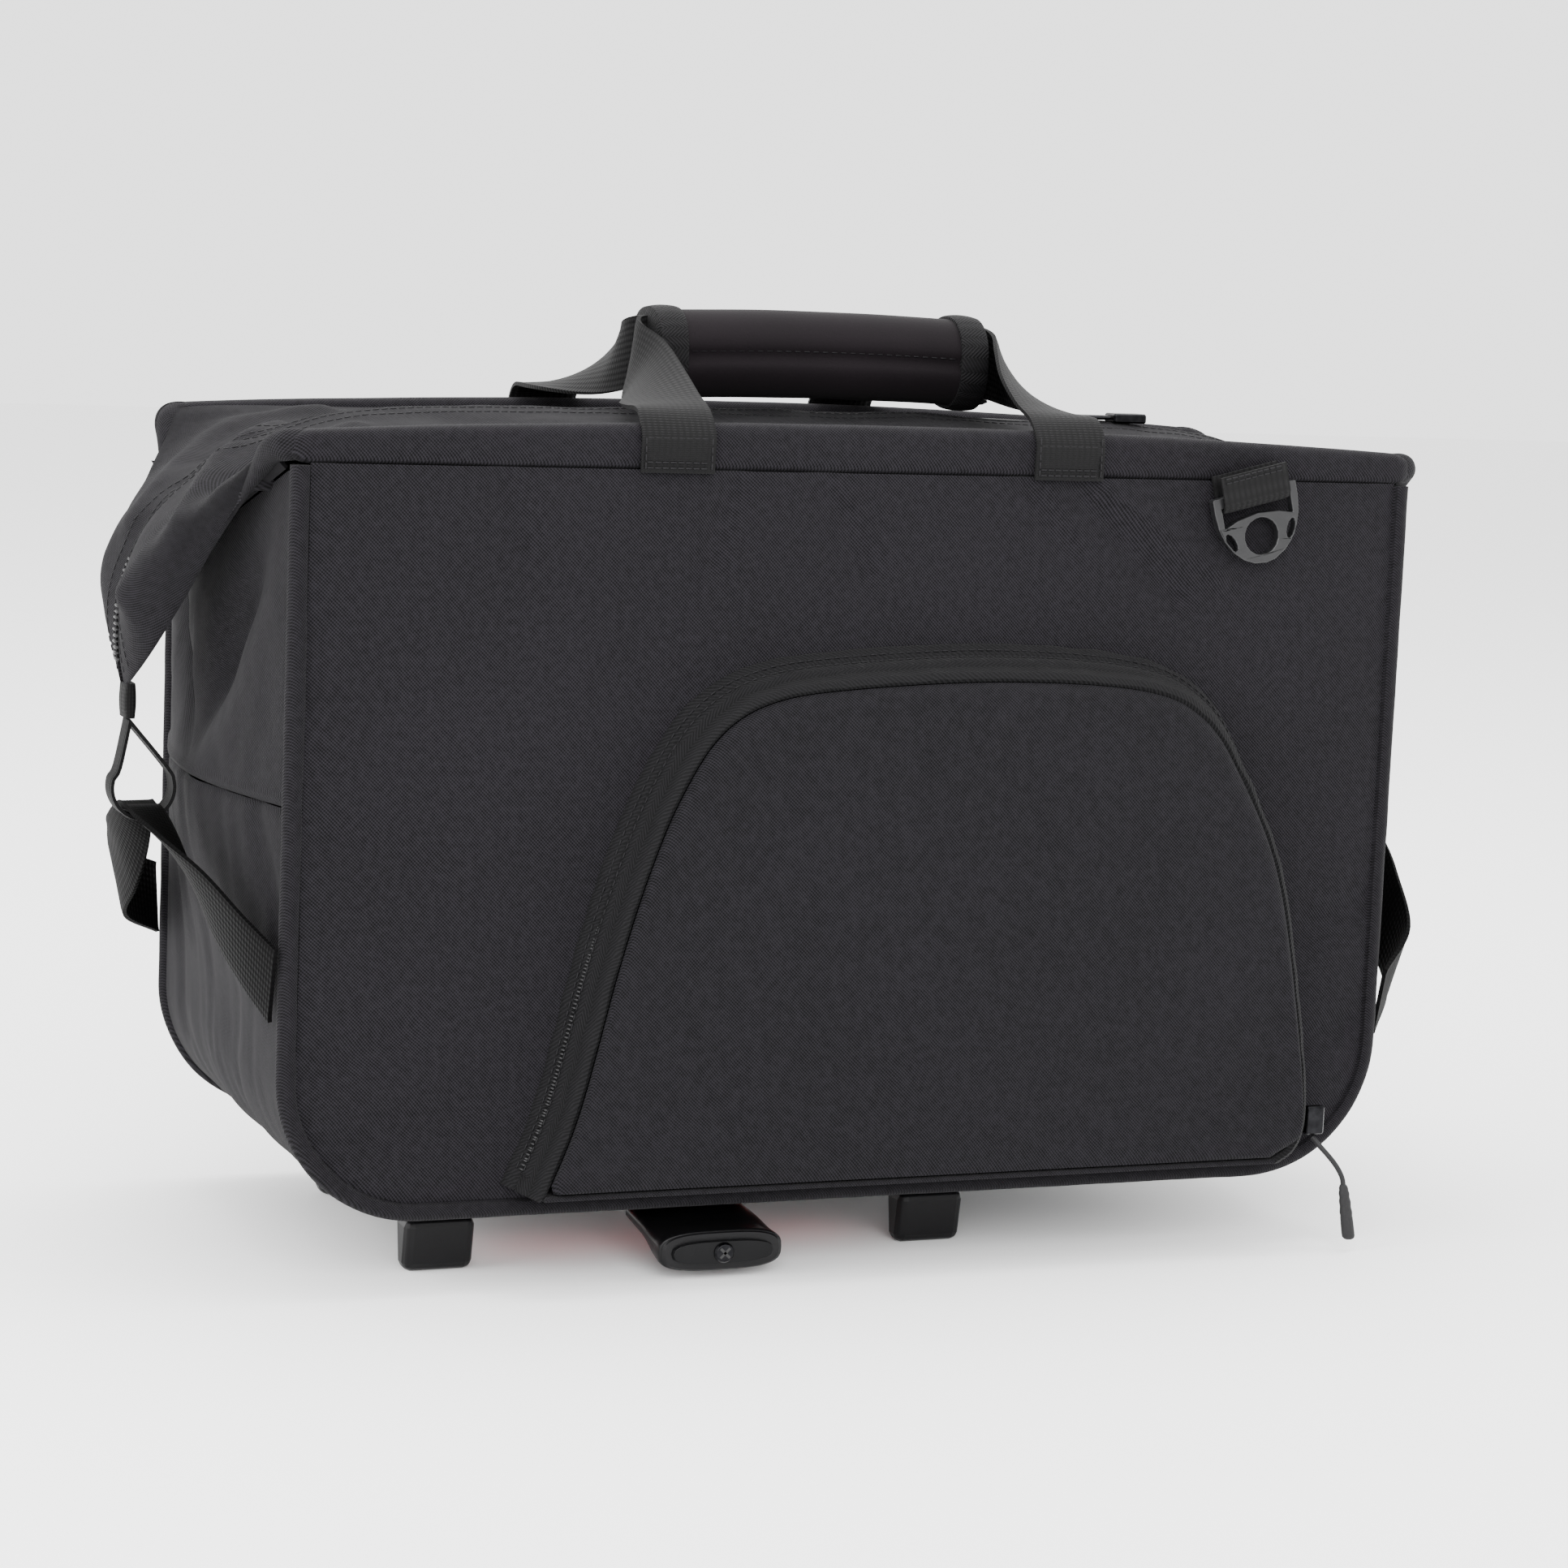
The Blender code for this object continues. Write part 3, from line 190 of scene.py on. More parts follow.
# The studio: a white floor under a bright white sky, with large soft lights in front, above and
# on the left, and a weak one on the right.
studio_white = Finish("studio_white", 0.9).close((0.93, 0.93, 0.93))
bm = bmesh.new()
bmesh.ops.create_grid(bm, x_segments=2, y_segments=2, size=6.0)
floor_mesh = bpy.data.meshes.new("studio_floor")
bm.to_mesh(floor_mesh)
bm.free()
floor_mesh.materials.append(studio_white)
studio_floor = bpy.data.objects.new("studio_floor", floor_mesh)
bpy.context.scene.collection.objects.link(studio_floor)
BAG_MIDDLE = 0.14
for name, place, size, power in (("left_bank", (-1.9, -0.35, 0.95), (1.4, 1.2), 44.0),
                                 ("front_bank", (-0.5, -2.3, 1.3), (1.8, 1.4), 84.0),
                                 ("top_bank", (0.1, 0.2, 2.2), (1.8, 1.4), 66.0),
                                 ("right_bank", (2.0, -0.7, 0.9), (0.9, 1.2), 14.0)):
    lamp = bpy.data.lights.new(name, "AREA")
    lamp.energy = power
    lamp.shape = "RECTANGLE"
    lamp.size, lamp.size_y = size
    item = bpy.data.objects.new(name, lamp)
    item.location = place
    toward = Vector((0.0, 0.0, BAG_MIDDLE)) - Vector(place)
    item.rotation_euler = toward.to_track_quat("-Z", "Y").to_euler()
    bpy.context.scene.collection.objects.link(item)
sky = bpy.data.worlds.new("studio")
sky.use_nodes = True
background = sky.node_tree.nodes["Background"].inputs
background["Color"].default_value = (1.0, 1.0, 1.0, 1.0)
background["Strength"].default_value = 2.4
bpy.context.scene.world = sky


# Front and back panels: foam between two layers of twill, 395 mm wide with round lower corners.
# The cloth is stretched over the foam, bulges a little and creases softly below the rim.
MID_DEPTH = 0.00635
HALF_WIDTH = 0.1975
HALF_DEPTH = 0.088
PANEL_TOP = 0.2660
PANEL_BOTTOM = 0.0245
PANEL_INSET = 0.0065
CORNER = 0.048
PIPING_IN = 0.00375
SEAM_HEIGHT = 0.1580
FRONT_BACK = ((-1, "front"), (1, "back"))
LEFT_RIGHT = ((-1, "left"), (1, "right"))


def clamp(share):
    return min(1.0, max(0.0, share))


def bell(distance, width):
    """1 at no distance, falling off smoothly over the width."""
    return math.exp(-((distance / width) ** 2))


def waver(x, y, z):
    """Smooth noise round 0."""
    return noise.noise(Vector((x, y, z)))


def smooth(points, share):
    """A point on a smooth curve through the points, at a share of the way from first to last."""
    span = clamp(share) * (len(points) - 1)
    i = min(int(span), len(points) - 2)
    t = span - i
    rows = [Vector(p) for p in points[max(i - 1, 0):i + 3]]
    if i == 0:
        rows.insert(0, 2 * rows[0] - rows[1])
    if i == len(points) - 2:
        rows.append(2 * rows[-1] - rows[-2])
    a, b, c, d = rows
    return 0.5 * (2 * b + (c - a) * t + (2 * a - 5 * b + 4 * c - d) * t**2
                  + (3 * b - a - 3 * c + d) * t**3)


def near(spot, path, width):
    """1 on a line through the path's points, falling off smoothly over the width."""
    least = 1.0
    for start, stop in zip(path, path[1:]):
        start, stop = Vector(start), Vector(stop)
        way = stop - start
        share = clamp((spot - start).dot(way) / way.length_squared)
        least = min(least, (spot - start - way * share).length)
    return bell(least, width)


def finished(name, bm, finish, body):
    """Turns a bmesh into a piece that rides on a body."""
    mesh = bpy.data.meshes.new(name)
    bm.to_mesh(mesh)
    bm.free()
    mesh.shade_smooth()
    mesh.set_sharp_from_angle(angle=math.radians(50.0))
    mesh.materials.append(finish)
    piece = bpy.data.objects.new(name, mesh)
    bpy.context.scene.collection.objects.link(piece)
    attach(piece, body)
    return piece


def stand_in(piece, node):
    """Lets a piece take a CAD node's place by hiding the node."""
    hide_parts(node)
    return piece


def cut_cloth(name, columns, rows, size, spot, finish, wall=0.0, closed=False, body="bag",
              turned=True):
    """A cloth piece: a flat grid of that size in metres, laid where spot(u, v) says. wall is its
    thickness, behind its face, and a turned piece faces away from the bag's middle. A closed
    piece is a roll whose first and last columns meet and whose ends are filled."""
    bm = bmesh.new()
    bm.loops.layers.uv.new("cut")
    bmesh.ops.create_grid(bm, x_segments=columns, y_segments=rows, size=0.5, calc_uvs=True)
    chart = bm.loops.layers.uv["cut"]
    for face in bm.faces:
        for corner in face.loops:
            u, v = corner.vert.co.x + 0.5, corner.vert.co.y + 0.5
            corner[chart].uv = (v * size[1], u * size[0])
    for vert in bm.verts:
        vert.co = spot(vert.co.x + 0.5, vert.co.y + 0.5)
    if closed:
        bmesh.ops.remove_doubles(bm, verts=bm.verts, dist=0.00001)
        rim = [edge for edge in bm.edges if edge.is_boundary]
        bmesh.ops.holes_fill(bm, edges=rim, sides=0)
        bmesh.ops.recalc_face_normals(bm, faces=bm.faces)
    if wall:
        bm.normal_update()
        middle = Vector((0.0, MID_DEPTH, BAG_MIDDLE))
        away = sum(face.normal.dot(face.calc_center_median() - middle) * face.calc_area()
                   for face in bm.faces)
        if turned and away < 0:
            bmesh.ops.reverse_faces(bm, faces=bm.faces)
            bm.normal_update()
        bmesh.ops.solidify(bm, geom=bm.faces, thickness=wall)
    return finished(name, bm, finish, body)


def panel_half_width(z, inset):
    """Half the panel's width at a height, less where the lower corners are round."""
    rise = z - PANEL_BOTTOM - inset
    radius = CORNER - inset
    if rise >= radius:
        return HALF_WIDTH - inset
    return HALF_WIDTH - CORNER + math.sqrt(max(0.0, radius**2 - (radius - rise) ** 2))


def dented(x, z, creases):
    """How deep the creases dent a front face at (x, z)."""
    return sum(depth * near(Vector((x, 0.0, z)), [(a[0], 0.0, a[1]), (b[0], 0.0, b[1])], width)
               for a, b, width, depth in creases)


front_creases = (
    # (x, z) from, (x, z) to, width, depth
    ((0.070, 0.262), (0.108, 0.228), 0.0055, 0.0011),
    ((0.082, 0.263), (0.125, 0.236), 0.0040, -0.0008),
    ((0.052, 0.262), (0.066, 0.243), 0.0050, 0.0006),
    ((-0.052, 0.262), (-0.060, 0.238), 0.0050, 0.0007),
    ((-0.020, 0.262), (-0.006, 0.236), 0.0060, 0.0006),
    ((-0.128, 0.262), (-0.122, 0.240), 0.0060, 0.0005),
    ((-0.186, 0.150), (-0.150, 0.140), 0.0060, 0.0005),
    ((-0.186, 0.075), (-0.155, 0.088), 0.0050, 0.0006),
    ((-0.176, 0.052), (-0.140, 0.060), 0.0060, 0.0006),
    ((0.186, 0.120), (0.160, 0.108), 0.0060, 0.0006),
    ((0.184, 0.078), (0.166, 0.070), 0.0050, 0.0007),
    ((0.020, 0.040), (0.046, 0.060), 0.0060, 0.0003),
)


def panel_spot(side):
    """Where a panel's cloth lies; side is -1 at the front and 1 at the back."""
    def spot(u, v):
        foot = PANEL_BOTTOM + PANEL_INSET
        z = foot + (PANEL_TOP + 0.0008 - foot) * v
        x = (2 * u - 1) * panel_half_width(z, PANEL_INSET - 0.0003)
        edge = min(1 - abs(2 * u - 1), 2 * min(v, 1.02 - v))
        swell = 0.0012 * (1 - (1 - min(1.0, edge / 0.12)) ** 3)
        sag = 0.0007 * waver(x * 11, z * 13, side * 3.0)
        sag += 0.0003 * waver(x * 34, z * 38, side * 7.0)
        y = HALF_DEPTH - 0.0019 + swell + sag - 1.5 * dented(-side * x, z, front_creases)
        return Vector((x, MID_DEPTH + side * min(y, HALF_DEPTH + 0.0012), z))
    return spot


for side, word in FRONT_BACK:
    panel = cut_cloth(word + "_panel_cloth", 150, 100, (2 * HALF_WIDTH, 0.243), panel_spot(side),
                      padded_twill, 0.0035)
    stand_in(panel, word + "_panel")


# Piping: a fat cord wrapped in a bias strip of the same cloth, sewn into the seam between each
# panel and the gusset. It runs down one side, under the bag and up the other.
piping_twill = twill("piping_twill", (0.0006, 0.0005, 0.0007), (0.0104, 0.0095, 0.0115), 0.0010)


def bag_edge(inset, share, top=PANEL_TOP):
    """(x, z) and outward (x, z) at a share of the way down, under and up the bag's edge."""
    half = HALF_WIDTH - inset
    radius = CORNER - inset
    straight = top - (PANEL_BOTTOM + CORNER)
    bend = math.pi / 2 * radius
    flat = 2 * (half - radius)
    total = 2 * straight + 2 * bend + flat
    run = clamp(share) * total
    mirror = 1.0
    if run > total / 2:
        run = total - run
        mirror = -1.0
    if run <= straight:
        spot, out = (-half, top - run), (-1.0, 0.0)
    elif run <= straight + bend:
        angle = math.pi + (run - straight) / radius
        out = (math.cos(angle), math.sin(angle))
        spot = (-half + radius + radius * out[0], PANEL_BOTTOM + CORNER + radius * out[1])
    else:
        spot, out = (-half + radius + run - straight - bend, PANEL_BOTTOM + inset), (0.0, -1.0)
    return (spot[0] * mirror, spot[1]), (out[0] * mirror, out[1])


def piping_spot(side):
    def spot(u, v):
        (x, z), (ox, oz) = bag_edge(PIPING_IN, v)
        angle = 2 * math.pi * u
        pucker = waver(v * 60, math.cos(angle), side * 5.0)
        groove = bell(math.cos(angle - math.pi * 0.78) - 1, 0.03)
        radius = 0.0036 * (1 + 0.05 * pucker) - 0.0007 * groove
        out, deep = radius * math.cos(angle), radius * math.sin(angle)
        return Vector((x + ox * out, MID_DEPTH + side * (HALF_DEPTH - PIPING_IN + deep),
                       z + oz * out))
    return spot


for side, word in FRONT_BACK:
    piping = cut_cloth(word + "_piping_cloth", 24, 320, (0.024, 0.83), piping_spot(side),
                       piping_twill, closed=True)
    stand_in(piping, word + "_piping")


# Rim sleeves: the cloth at the top edge of both panels folded over a stiff rod, with a dark
# groove where each is sewn to its panel and round ends.
RIM_BASE = 0.2663
RIM_HEIGHT = 0.0105
RIM_DEPTH = 0.0115
RIM_FACE = 0.0875


def rim_arch(x):
    return 0.0055 * (1 - min(1.0, abs(x) / HALF_WIDTH) ** 2)


def squarish(width, height, share, power):
    """(across, up) round a squarish oval."""
    c, s = math.cos(2 * math.pi * share), math.sin(2 * math.pi * share)
    return (width / 2 * math.copysign(abs(c) ** (2 / power), c),
            height / 2 * math.copysign(abs(s) ** (2 / power), s))


def rim_spot(side):
    def spot(u, v):
        x = HALF_WIDTH * (2 * v - 1)
        height = RIM_HEIGHT + rim_arch(x)
        across, up = squarish(0.0113, height, u, 3.4)
        pull = waver(x * 26, u * 2.0, side * 2.0)
        fine = waver(x * 90, u * 5.0, side * 9.0)
        swell = 1 + 0.045 * pull + 0.015 * fine
        low = bell(up / height + 0.5, 0.10)
        across *= swell * (1 - 0.10 * low)
        rest = 1 - min(1.0, (HALF_WIDTH - abs(x)) / 0.007)
        slim = math.sqrt(1 - 0.85 * rest * rest)
        up *= slim
        across *= slim
        y = MID_DEPTH + side * (RIM_FACE - RIM_DEPTH / 2) + across
        return Vector((x * (1 + 0.002 * rest), y,
                       RIM_BASE + height / 2 + up * (1 + 0.02 * pull)))
    return spot


for side, word in FRONT_BACK:
    rim = cut_cloth("rim_" + word + "_cloth", 32, 200, (0.042, 2 * HALF_WIDTH), rim_spot(side),
                    padded_twill, closed=True)
    stand_in(rim, "rim_" + word)


# Lower gusset: one padded band down one side, under the bag and up the other, sewn to both
# pipings and, along a seam with a raised edge, to the soft upper sides.
GUSSET_EDGE = 0.0802


def side_span(y):
    return max(0.0, math.cos(math.pi * y / (2 * GUSSET_EDGE)))


def side_bulge(y, z):
    span = side_span(y)
    climb = clamp((z - PANEL_BOTTOM - CORNER) / (SEAM_HEIGHT - PANEL_BOTTOM - CORNER))
    return 0.013 * span * climb * climb * (3 - 2 * climb)


low_wrinkles = (
    # a line down the side, width, depth
    (((-0.204, -0.033, 0.156), (-0.203, -0.034, 0.138)), 0.0060, 0.0012),
    (((-0.199, -0.060, 0.156), (-0.197, -0.076, 0.120), (-0.196, -0.080, 0.100)), 0.0055, 0.0016),
    (((-0.206, 0.010, 0.156), (-0.204, 0.004, 0.120)), 0.0060, 0.0012),
    (((-0.197, 0.061, 0.130), (-0.195, 0.056, 0.060)), 0.0065, 0.0014),
    (((-0.199, 0.003, 0.106), (-0.196, 0.012, 0.066)), 0.0050, 0.0010),
    (((-0.203, 0.036, 0.150), (-0.199, 0.030, 0.100)), 0.0060, 0.0010),
    (((-0.197, -0.030, 0.090), (-0.195, -0.022, 0.060)), 0.0050, 0.0008),
)


def gusset_spot(u, v):
    (x, z), (ox, oz) = bag_edge(0.002, v, SEAM_HEIGHT)
    y = GUSSET_EDGE * (2 * u - 1)
    out = side_bulge(y, z)
    spot = Vector((x + ox * out, y, z + oz * out))
    mirrored = Vector((-abs(spot.x), y if x < 0 else -y, z))
    wave = -sum(depth * near(mirrored, line, width) for line, width, depth in low_wrinkles)
    edge = min(1.0, (GUSSET_EDGE - abs(y)) / 0.010)
    wave += 0.0011 * waver(y * 45, z * 14, x * 4) * edge
    wave += 0.0006 * waver(y * 120, z * 40, x * 9) * edge
    if z < PANEL_BOTTOM + 0.012:
        wave = min(wave, 0.0) * 0.2
    lip = -0.0012 * bell(SEAM_HEIGHT - z, 0.0012) if ox else 0.0
    return Vector((spot.x + ox * (wave + lip), MID_DEPTH + y, spot.z + oz * wave))


gusset = cut_cloth("gusset_lower_cloth", 72, 360, (0.16, 0.62), gusset_spot, soft_twill, 0.0024)
stand_in(gusset, "gusset_lower")


# Upper sides: a single layer of cloth from the side seam up to the wings. It is creased inwards
# from each corner of the rims down to the middle of the seam, where the two creases meet.
FLAP_EDGE = 0.0751
GUSSET_X = 0.1955


def tuck(y):
    share = min(1.0, abs(y) / FLAP_EDGE)
    return GUSSET_X + 0.010 * (1 - share), 0.236 + 0.028 * share


def side_reach(y, climb):
    off_crease = abs(y) - FLAP_EDGE * climb
    dent, sharp = bell(off_crease, 0.016), bell(off_crease, 0.006)
    span = side_span(y)
    middle = 0.013 - 0.003 * climb
    depth = (0.0075 * dent + 0.0035 * sharp) * math.sin(math.pi * climb) * math.sqrt(span)
    return middle * span - depth


def upper_side_spot(side):
    def spot(u, v):
        y = GUSSET_EDGE * (2 * u - 1) * side
        head_x, head_z = tuck(y)
        foot = SEAM_HEIGHT + 0.0006
        z = foot + (head_z - 0.0004 - foot) * v
        climb = max(0.0, (z - SEAM_HEIGHT) / (PANEL_TOP - SEAM_HEIGHT) - 0.02)
        settle = v**4
        x = (GUSSET_X + side_reach(y, climb)) * (1 - settle) + head_x * settle
        edge = min(1.0, (GUSSET_EDGE - abs(y)) / 0.010) * min(1.0, v / 0.08) * (1 - settle)
        x += edge * 0.0014 * waver(y * 38, z * 22, side * 3.0)
        x += edge * 0.0006 * waver(y * 95, z * 70, side * 8.0)
        x += 0.0011 * bell(z - SEAM_HEIGHT - 0.0028, 0.0016)
        x -= 0.0010 * bell(z - SEAM_HEIGHT, 0.0010)
        return Vector((side * x, MID_DEPTH + y, z))
    return spot


for side, word in LEFT_RIGHT:
    upper = cut_cloth("side_upper_" + word + "_cloth", 96, 72, (0.16, 0.11),
                      upper_side_spot(side), soft_twill, 0.0016)
    stand_in(upper, "side_upper_" + word)


# Closed top and wings: two flaps of single cloth meet along the zip. Past each end of the rims
# they hang down over the side as a wing, turned under at its lower ridge.
ZIP_TOP = 0.2833
WING_REACH = 0.0325
WING_DROP = 0.0965
wing_rows = (
    # depth, reach, drop, belly, rise
    (0.00, 1.00, 1.00, 0.37, 1.00),
    (0.12, 0.96, 0.95, 0.66, 0.90),
    (0.28, 0.84, 0.84, 1.00, 0.62),
    (0.43, 0.62, 0.66, 1.02, 0.36),
    (0.58, 0.44, 0.49, 0.90, 0.20),
    (0.76, 0.22, 0.31, 0.58, 0.12),
    (0.90, 0.09, 0.175, 0.28, 0.09),
    (1.00, 0.03, 0.115, 0.08, 0.08),
)


def row_at(rows, share):
    """The number of the row that a share falls in, and how far into it; rows start with theirs."""
    i = 0
    while i < len(rows) - 2 and share > rows[i + 1][0]:
        i += 1
    return i, (share - rows[i][0]) / (rows[i + 1][0] - rows[i][0])


def flap_height(x, share):
    base = 0.2738 + rim_arch(x)
    return base + 0.004 * (1 - share) - 0.004 * math.sin(math.pi * share)


def wing_profile(depth, run):
    """(x, z) on a section of the top: run is 0 at the wing's ridge, 0.6 at the shoulder's foot and
    1 in the middle of the bag."""
    reach, drop, belly, rise = smooth([row[1:] for row in wing_rows],
                                      sum(row_at(wing_rows, depth)) / (len(wing_rows) - 1))
    ridge = Vector((HALF_WIDTH + WING_REACH * reach, ZIP_TOP - WING_DROP * drop))
    swell = ridge + Vector((0.030 * belly, 0.052 * rise))
    flat_x = HALF_WIDTH - 0.067
    flat = Vector((flat_x, flap_height(flat_x, depth)))
    shoulder = Vector((flat_x + 0.074 * (1 - 0.2 * depth), flat.y))
    if run >= 0.6:
        x = flat_x * (1 - run) / 0.4
        return Vector((x, flap_height(x, depth)))
    t = run / 0.6
    keep = 1 - t
    return (keep**3 * ridge + 3 * keep**2 * t * swell + 3 * keep * t**2 * shoulder + t**3 * flat)


def section_out(depth, run):
    """The way out of the cloth on a section of the top."""
    way = wing_profile(depth, min(1.0, run + 0.01)) - wing_profile(depth, max(0.0, run - 0.01))
    out = Vector((way.y, -way.x)).normalized()
    return -out if out.y < 0 and run > 0.3 else out


wing_folds = (
    # a line on the left wing, width, height of the fold
    (((-0.176, 0.018, 0.271), (-0.2004, -0.0083, 0.2615), (-0.2111, -0.0273, 0.2535),
      (-0.2195, -0.0377, 0.2431), (-0.2237, -0.0305, 0.2316), (-0.2309, -0.0191, 0.2193)),
     0.0050, 0.0034),
    (((-0.1850, -0.018, 0.268), (-0.2060, -0.036, 0.257), (-0.2130, -0.047, 0.247),
      (-0.2180, -0.0450, 0.238)), 0.0055, -0.0030),
    (((-0.160, -0.020, 0.273), (-0.185, -0.030, 0.268), (-0.200, -0.052, 0.258)), 0.0055, 0.0022),
    (((-0.150, 0.062, 0.274), (-0.1806, 0.0579, 0.2692), (-0.2027, 0.0362, 0.2593),
      (-0.2150, 0.0190, 0.2501), (-0.2230, 0.0130, 0.2400)), 0.0060, 0.0028),
    (((-0.165, 0.035, 0.273), (-0.190, 0.028, 0.266), (-0.210, 0.004, 0.254)), 0.0050, -0.0022),
    (((-0.170, 0.070, 0.272), (-0.200, 0.062, 0.262), (-0.222, 0.040, 0.245)), 0.0080, -0.0014),
    (((-0.150, -0.045, 0.273), (-0.176, -0.062, 0.271)), 0.0060, -0.0016),
)


def flap_point(side, x_side, depth, run):
    """The outer face of the cloth, with its folds."""
    flat = wing_profile(depth, run)
    bare = clamp((0.21 - run) / 0.05)
    meet = 0.0002 + 0.0024 * bare
    y = meet + (FLAP_EDGE - meet) * depth
    spot = Vector((x_side * flat.x, side * y, flat.y))
    out = section_out(depth, run)
    out = Vector((x_side * out.x, 0.0, out.y))
    like_left = Vector((-abs(spot.x), spot.y if x_side < 0 else -spot.y, spot.z))
    lift = sum(height * near(like_left, line, width) for line, width, height in wing_folds)
    edge = min(1.0, (1 - depth) / 0.12)
    middle = min(1.0, depth / 0.05)
    grain = waver(spot.x * 22, spot.y * 40, spot.z * 26)
    fine = waver(spot.x * 70, spot.y * 110, spot.z * 80)
    lift = lift * (0.35 + 0.65 * middle) * edge + (0.0013 * grain + 0.0005 * fine) * edge
    lift *= 0.25 + 0.75 * min(1.0, run / 0.1)
    return spot + out * lift


TURNED_UNDER = 0.16


def flap_spot(side):
    def spot(u, depth):
        x_side = -1 if u < 0.5 else 1
        run = 1 - abs(2 * u - 1)
        if run < TURNED_UNDER:
            tuck_x, tuck_z = tuck(FLAP_EDGE * depth)
            ridge = flap_point(side, x_side, depth, 0.0)
            low = Vector((x_side * (tuck_x + 0.0009), ridge.y, tuck_z))
            share = run / TURNED_UNDER
            found = low.lerp(ridge, share)
            found.x += x_side * 0.002 * math.sin(math.pi * share)
        else:
            found = flap_point(side, x_side, depth, (run - TURNED_UNDER) / (1 - TURNED_UNDER))
        return found + Vector((0.0, MID_DEPTH, 0.0))
    return spot


for side, word in FRONT_BACK:
    flap = cut_cloth("top_flap_" + word + "_cloth", 330, 44, (0.62, 0.09), flap_spot(side),
                     soft_twill, 0.0014)
    stand_in(flap, "top_flap_" + word)


# Corner folds: at each end of a rim the wing's cloth is gathered round the rim's rod before it
# turns down, which leaves a soft rolled fold.
corner_roll = (
    # outwards from the middle, depth, height, thickness
    (0.1900, 0.0817, 0.2722, 0.0090),
    (0.1968, 0.0800, 0.2718, 0.0098),
    (0.2003, 0.0745, 0.2700, 0.0088),
    (0.2022, 0.0680, 0.2650, 0.0064),
    (0.2045, 0.0600, 0.2570, 0.0034),
    (0.2062, 0.0545, 0.2505, 0.0012),
)


def corner_spot(x_side, side):
    def spot(u, v):
        x, y, z, thick = smooth(corner_roll, v)
        ahead, behind = smooth(corner_roll, v + 0.02), smooth(corner_roll, v - 0.02)
        way = Vector((ahead - behind)[:3]).normalized()
        over = way.cross(Vector((0.0, 1.0, 0.0))).normalized()
        beside = way.cross(over)
        angle = 2 * math.pi * u
        crease = 1 + 0.10 * waver(x * 60, angle, z * 60)
        found = Vector((x, y, z)) + (over * math.cos(angle) + beside * math.sin(angle)) * (
            thick / 2 * crease)
        return Vector((x_side * found.x, MID_DEPTH + side * found.y, found.z))
    return spot


for side, word in FRONT_BACK:
    for x_side, x_word in LEFT_RIGHT:
        roll = cut_cloth("corner_fold_" + word + "_" + x_word, 24, 36, (0.03, 0.04),
                         corner_spot(x_side, side), soft_twill, closed=True)


# Main zip: a nylon coil between the flaps. Along the top its teeth lie under the cloth's folded
# edges, so two rows of stitching show there, and on the wings' lower half the bare coil shows.
zip_nylon = speckled("zip_nylon", (0.0040, 0.0039, 0.0042), (0.0110, 0.0107, 0.0114), (1400.0,),
                     0.42, shine=0.28)


def zip_line(x_side, run, lift=0.0):
    """A point on the line where the two flaps meet, and the way out there."""
    flat, out = wing_profile(0.0, run), section_out(0.0, run)
    return Vector((x_side * (flat.x + out.x * lift), MID_DEPTH, flat.y + out.y * lift)), out


def zip_tape_spot(u, v):
    x_side = -1 if v < 0.5 else 1
    run = 0.035 + 0.965 * (1 - abs(2 * v - 1))
    spot, out = zip_line(x_side, run, -0.0010)
    hollow = 0.0004 * math.cos(math.pi * (2 * u - 1))
    return spot + Vector((-x_side * out.x * hollow, 0.0052 * (u - 0.5), -out.y * hollow))


stand_in(cut_cloth("main_zip_tape", 6, 300, (0.0052, 0.62), zip_tape_spot, zip_nylon, 0.0004),
         "main_zip")


def gathered(name, seeds, finish):
    """Many copies of one small shape as a single piece; seeds are (shape, placing matrix)."""
    bm = bmesh.new()
    for shape, matrix in seeds:
        old = set(bm.verts)
        bm.from_mesh(shape)
        bmesh.ops.transform(bm, matrix=matrix, verts=[v for v in bm.verts if v not in old])
    return finished(name, bm, finish, "bag")


def small_block(name, size, bevel):
    bm = bmesh.new()
    bmesh.ops.create_cube(bm, size=1.0)
    bmesh.ops.scale(bm, vec=size, verts=bm.verts)
    bmesh.ops.bevel(bm, geom=bm.edges, offset=bevel, segments=1, profile=0.5, affect="EDGES",
                    material=-1)
    mesh = bpy.data.meshes.new(name)
    bm.to_mesh(mesh)
    bm.free()
    return mesh


def facing(spot, along, out):
    """A matrix at spot with +X along the given way and +Z as near to out as can be."""
    x = Vector(along).normalized()
    y = Vector(out).cross(x).normalized()
    return Matrix.Translation(spot) @ Matrix((x, y, x.cross(y))).transposed().to_4x4()


tooth = small_block("zip_tooth", (0.0011, 0.0040, 0.0022), 0.00035)
TOOTH_PITCH = 0.0019
TOOTH_STEPS = 1600
teeth = []
for x_side in (-1, 1):
    before = None
    travelled = 0.0
    for step in range(1, TOOTH_STEPS):
        run = 0.030 + 0.44 * step / TOOTH_STEPS
        spot, out = zip_line(x_side, run, 0.0003 - 0.0032 * clamp((run - 0.17) / 0.05))
        if before is not None:
            travelled += (spot - before).length
            if travelled > TOOTH_PITCH:
                travelled = 0.0
                lean = 0.0005 if len(teeth) % 2 else -0.0005
                teeth.append((tooth, facing(spot + Vector((0, lean, 0)), spot - before,
                                            (x_side * out.x, 0.0, out.y))))
        before = spot
gathered("main_zip_teeth", teeth, zip_nylon)


# Stitching: bonded black thread, a little glossier and lighter than the cloth, in rows of
# stitches about 3 mm long beside both zips and on the handle's feet, the grip and the ring's tab.
thread_black = speckled("thread_black", (0.0016, 0.0015, 0.0018), (0.0070, 0.0065, 0.0076),
                        (1800.0, 1.0), 0.6, relief=0.00006, shine=0.15)
stitch = small_block("stitch", (0.0021, 0.00055, 0.00042), 0.00014)


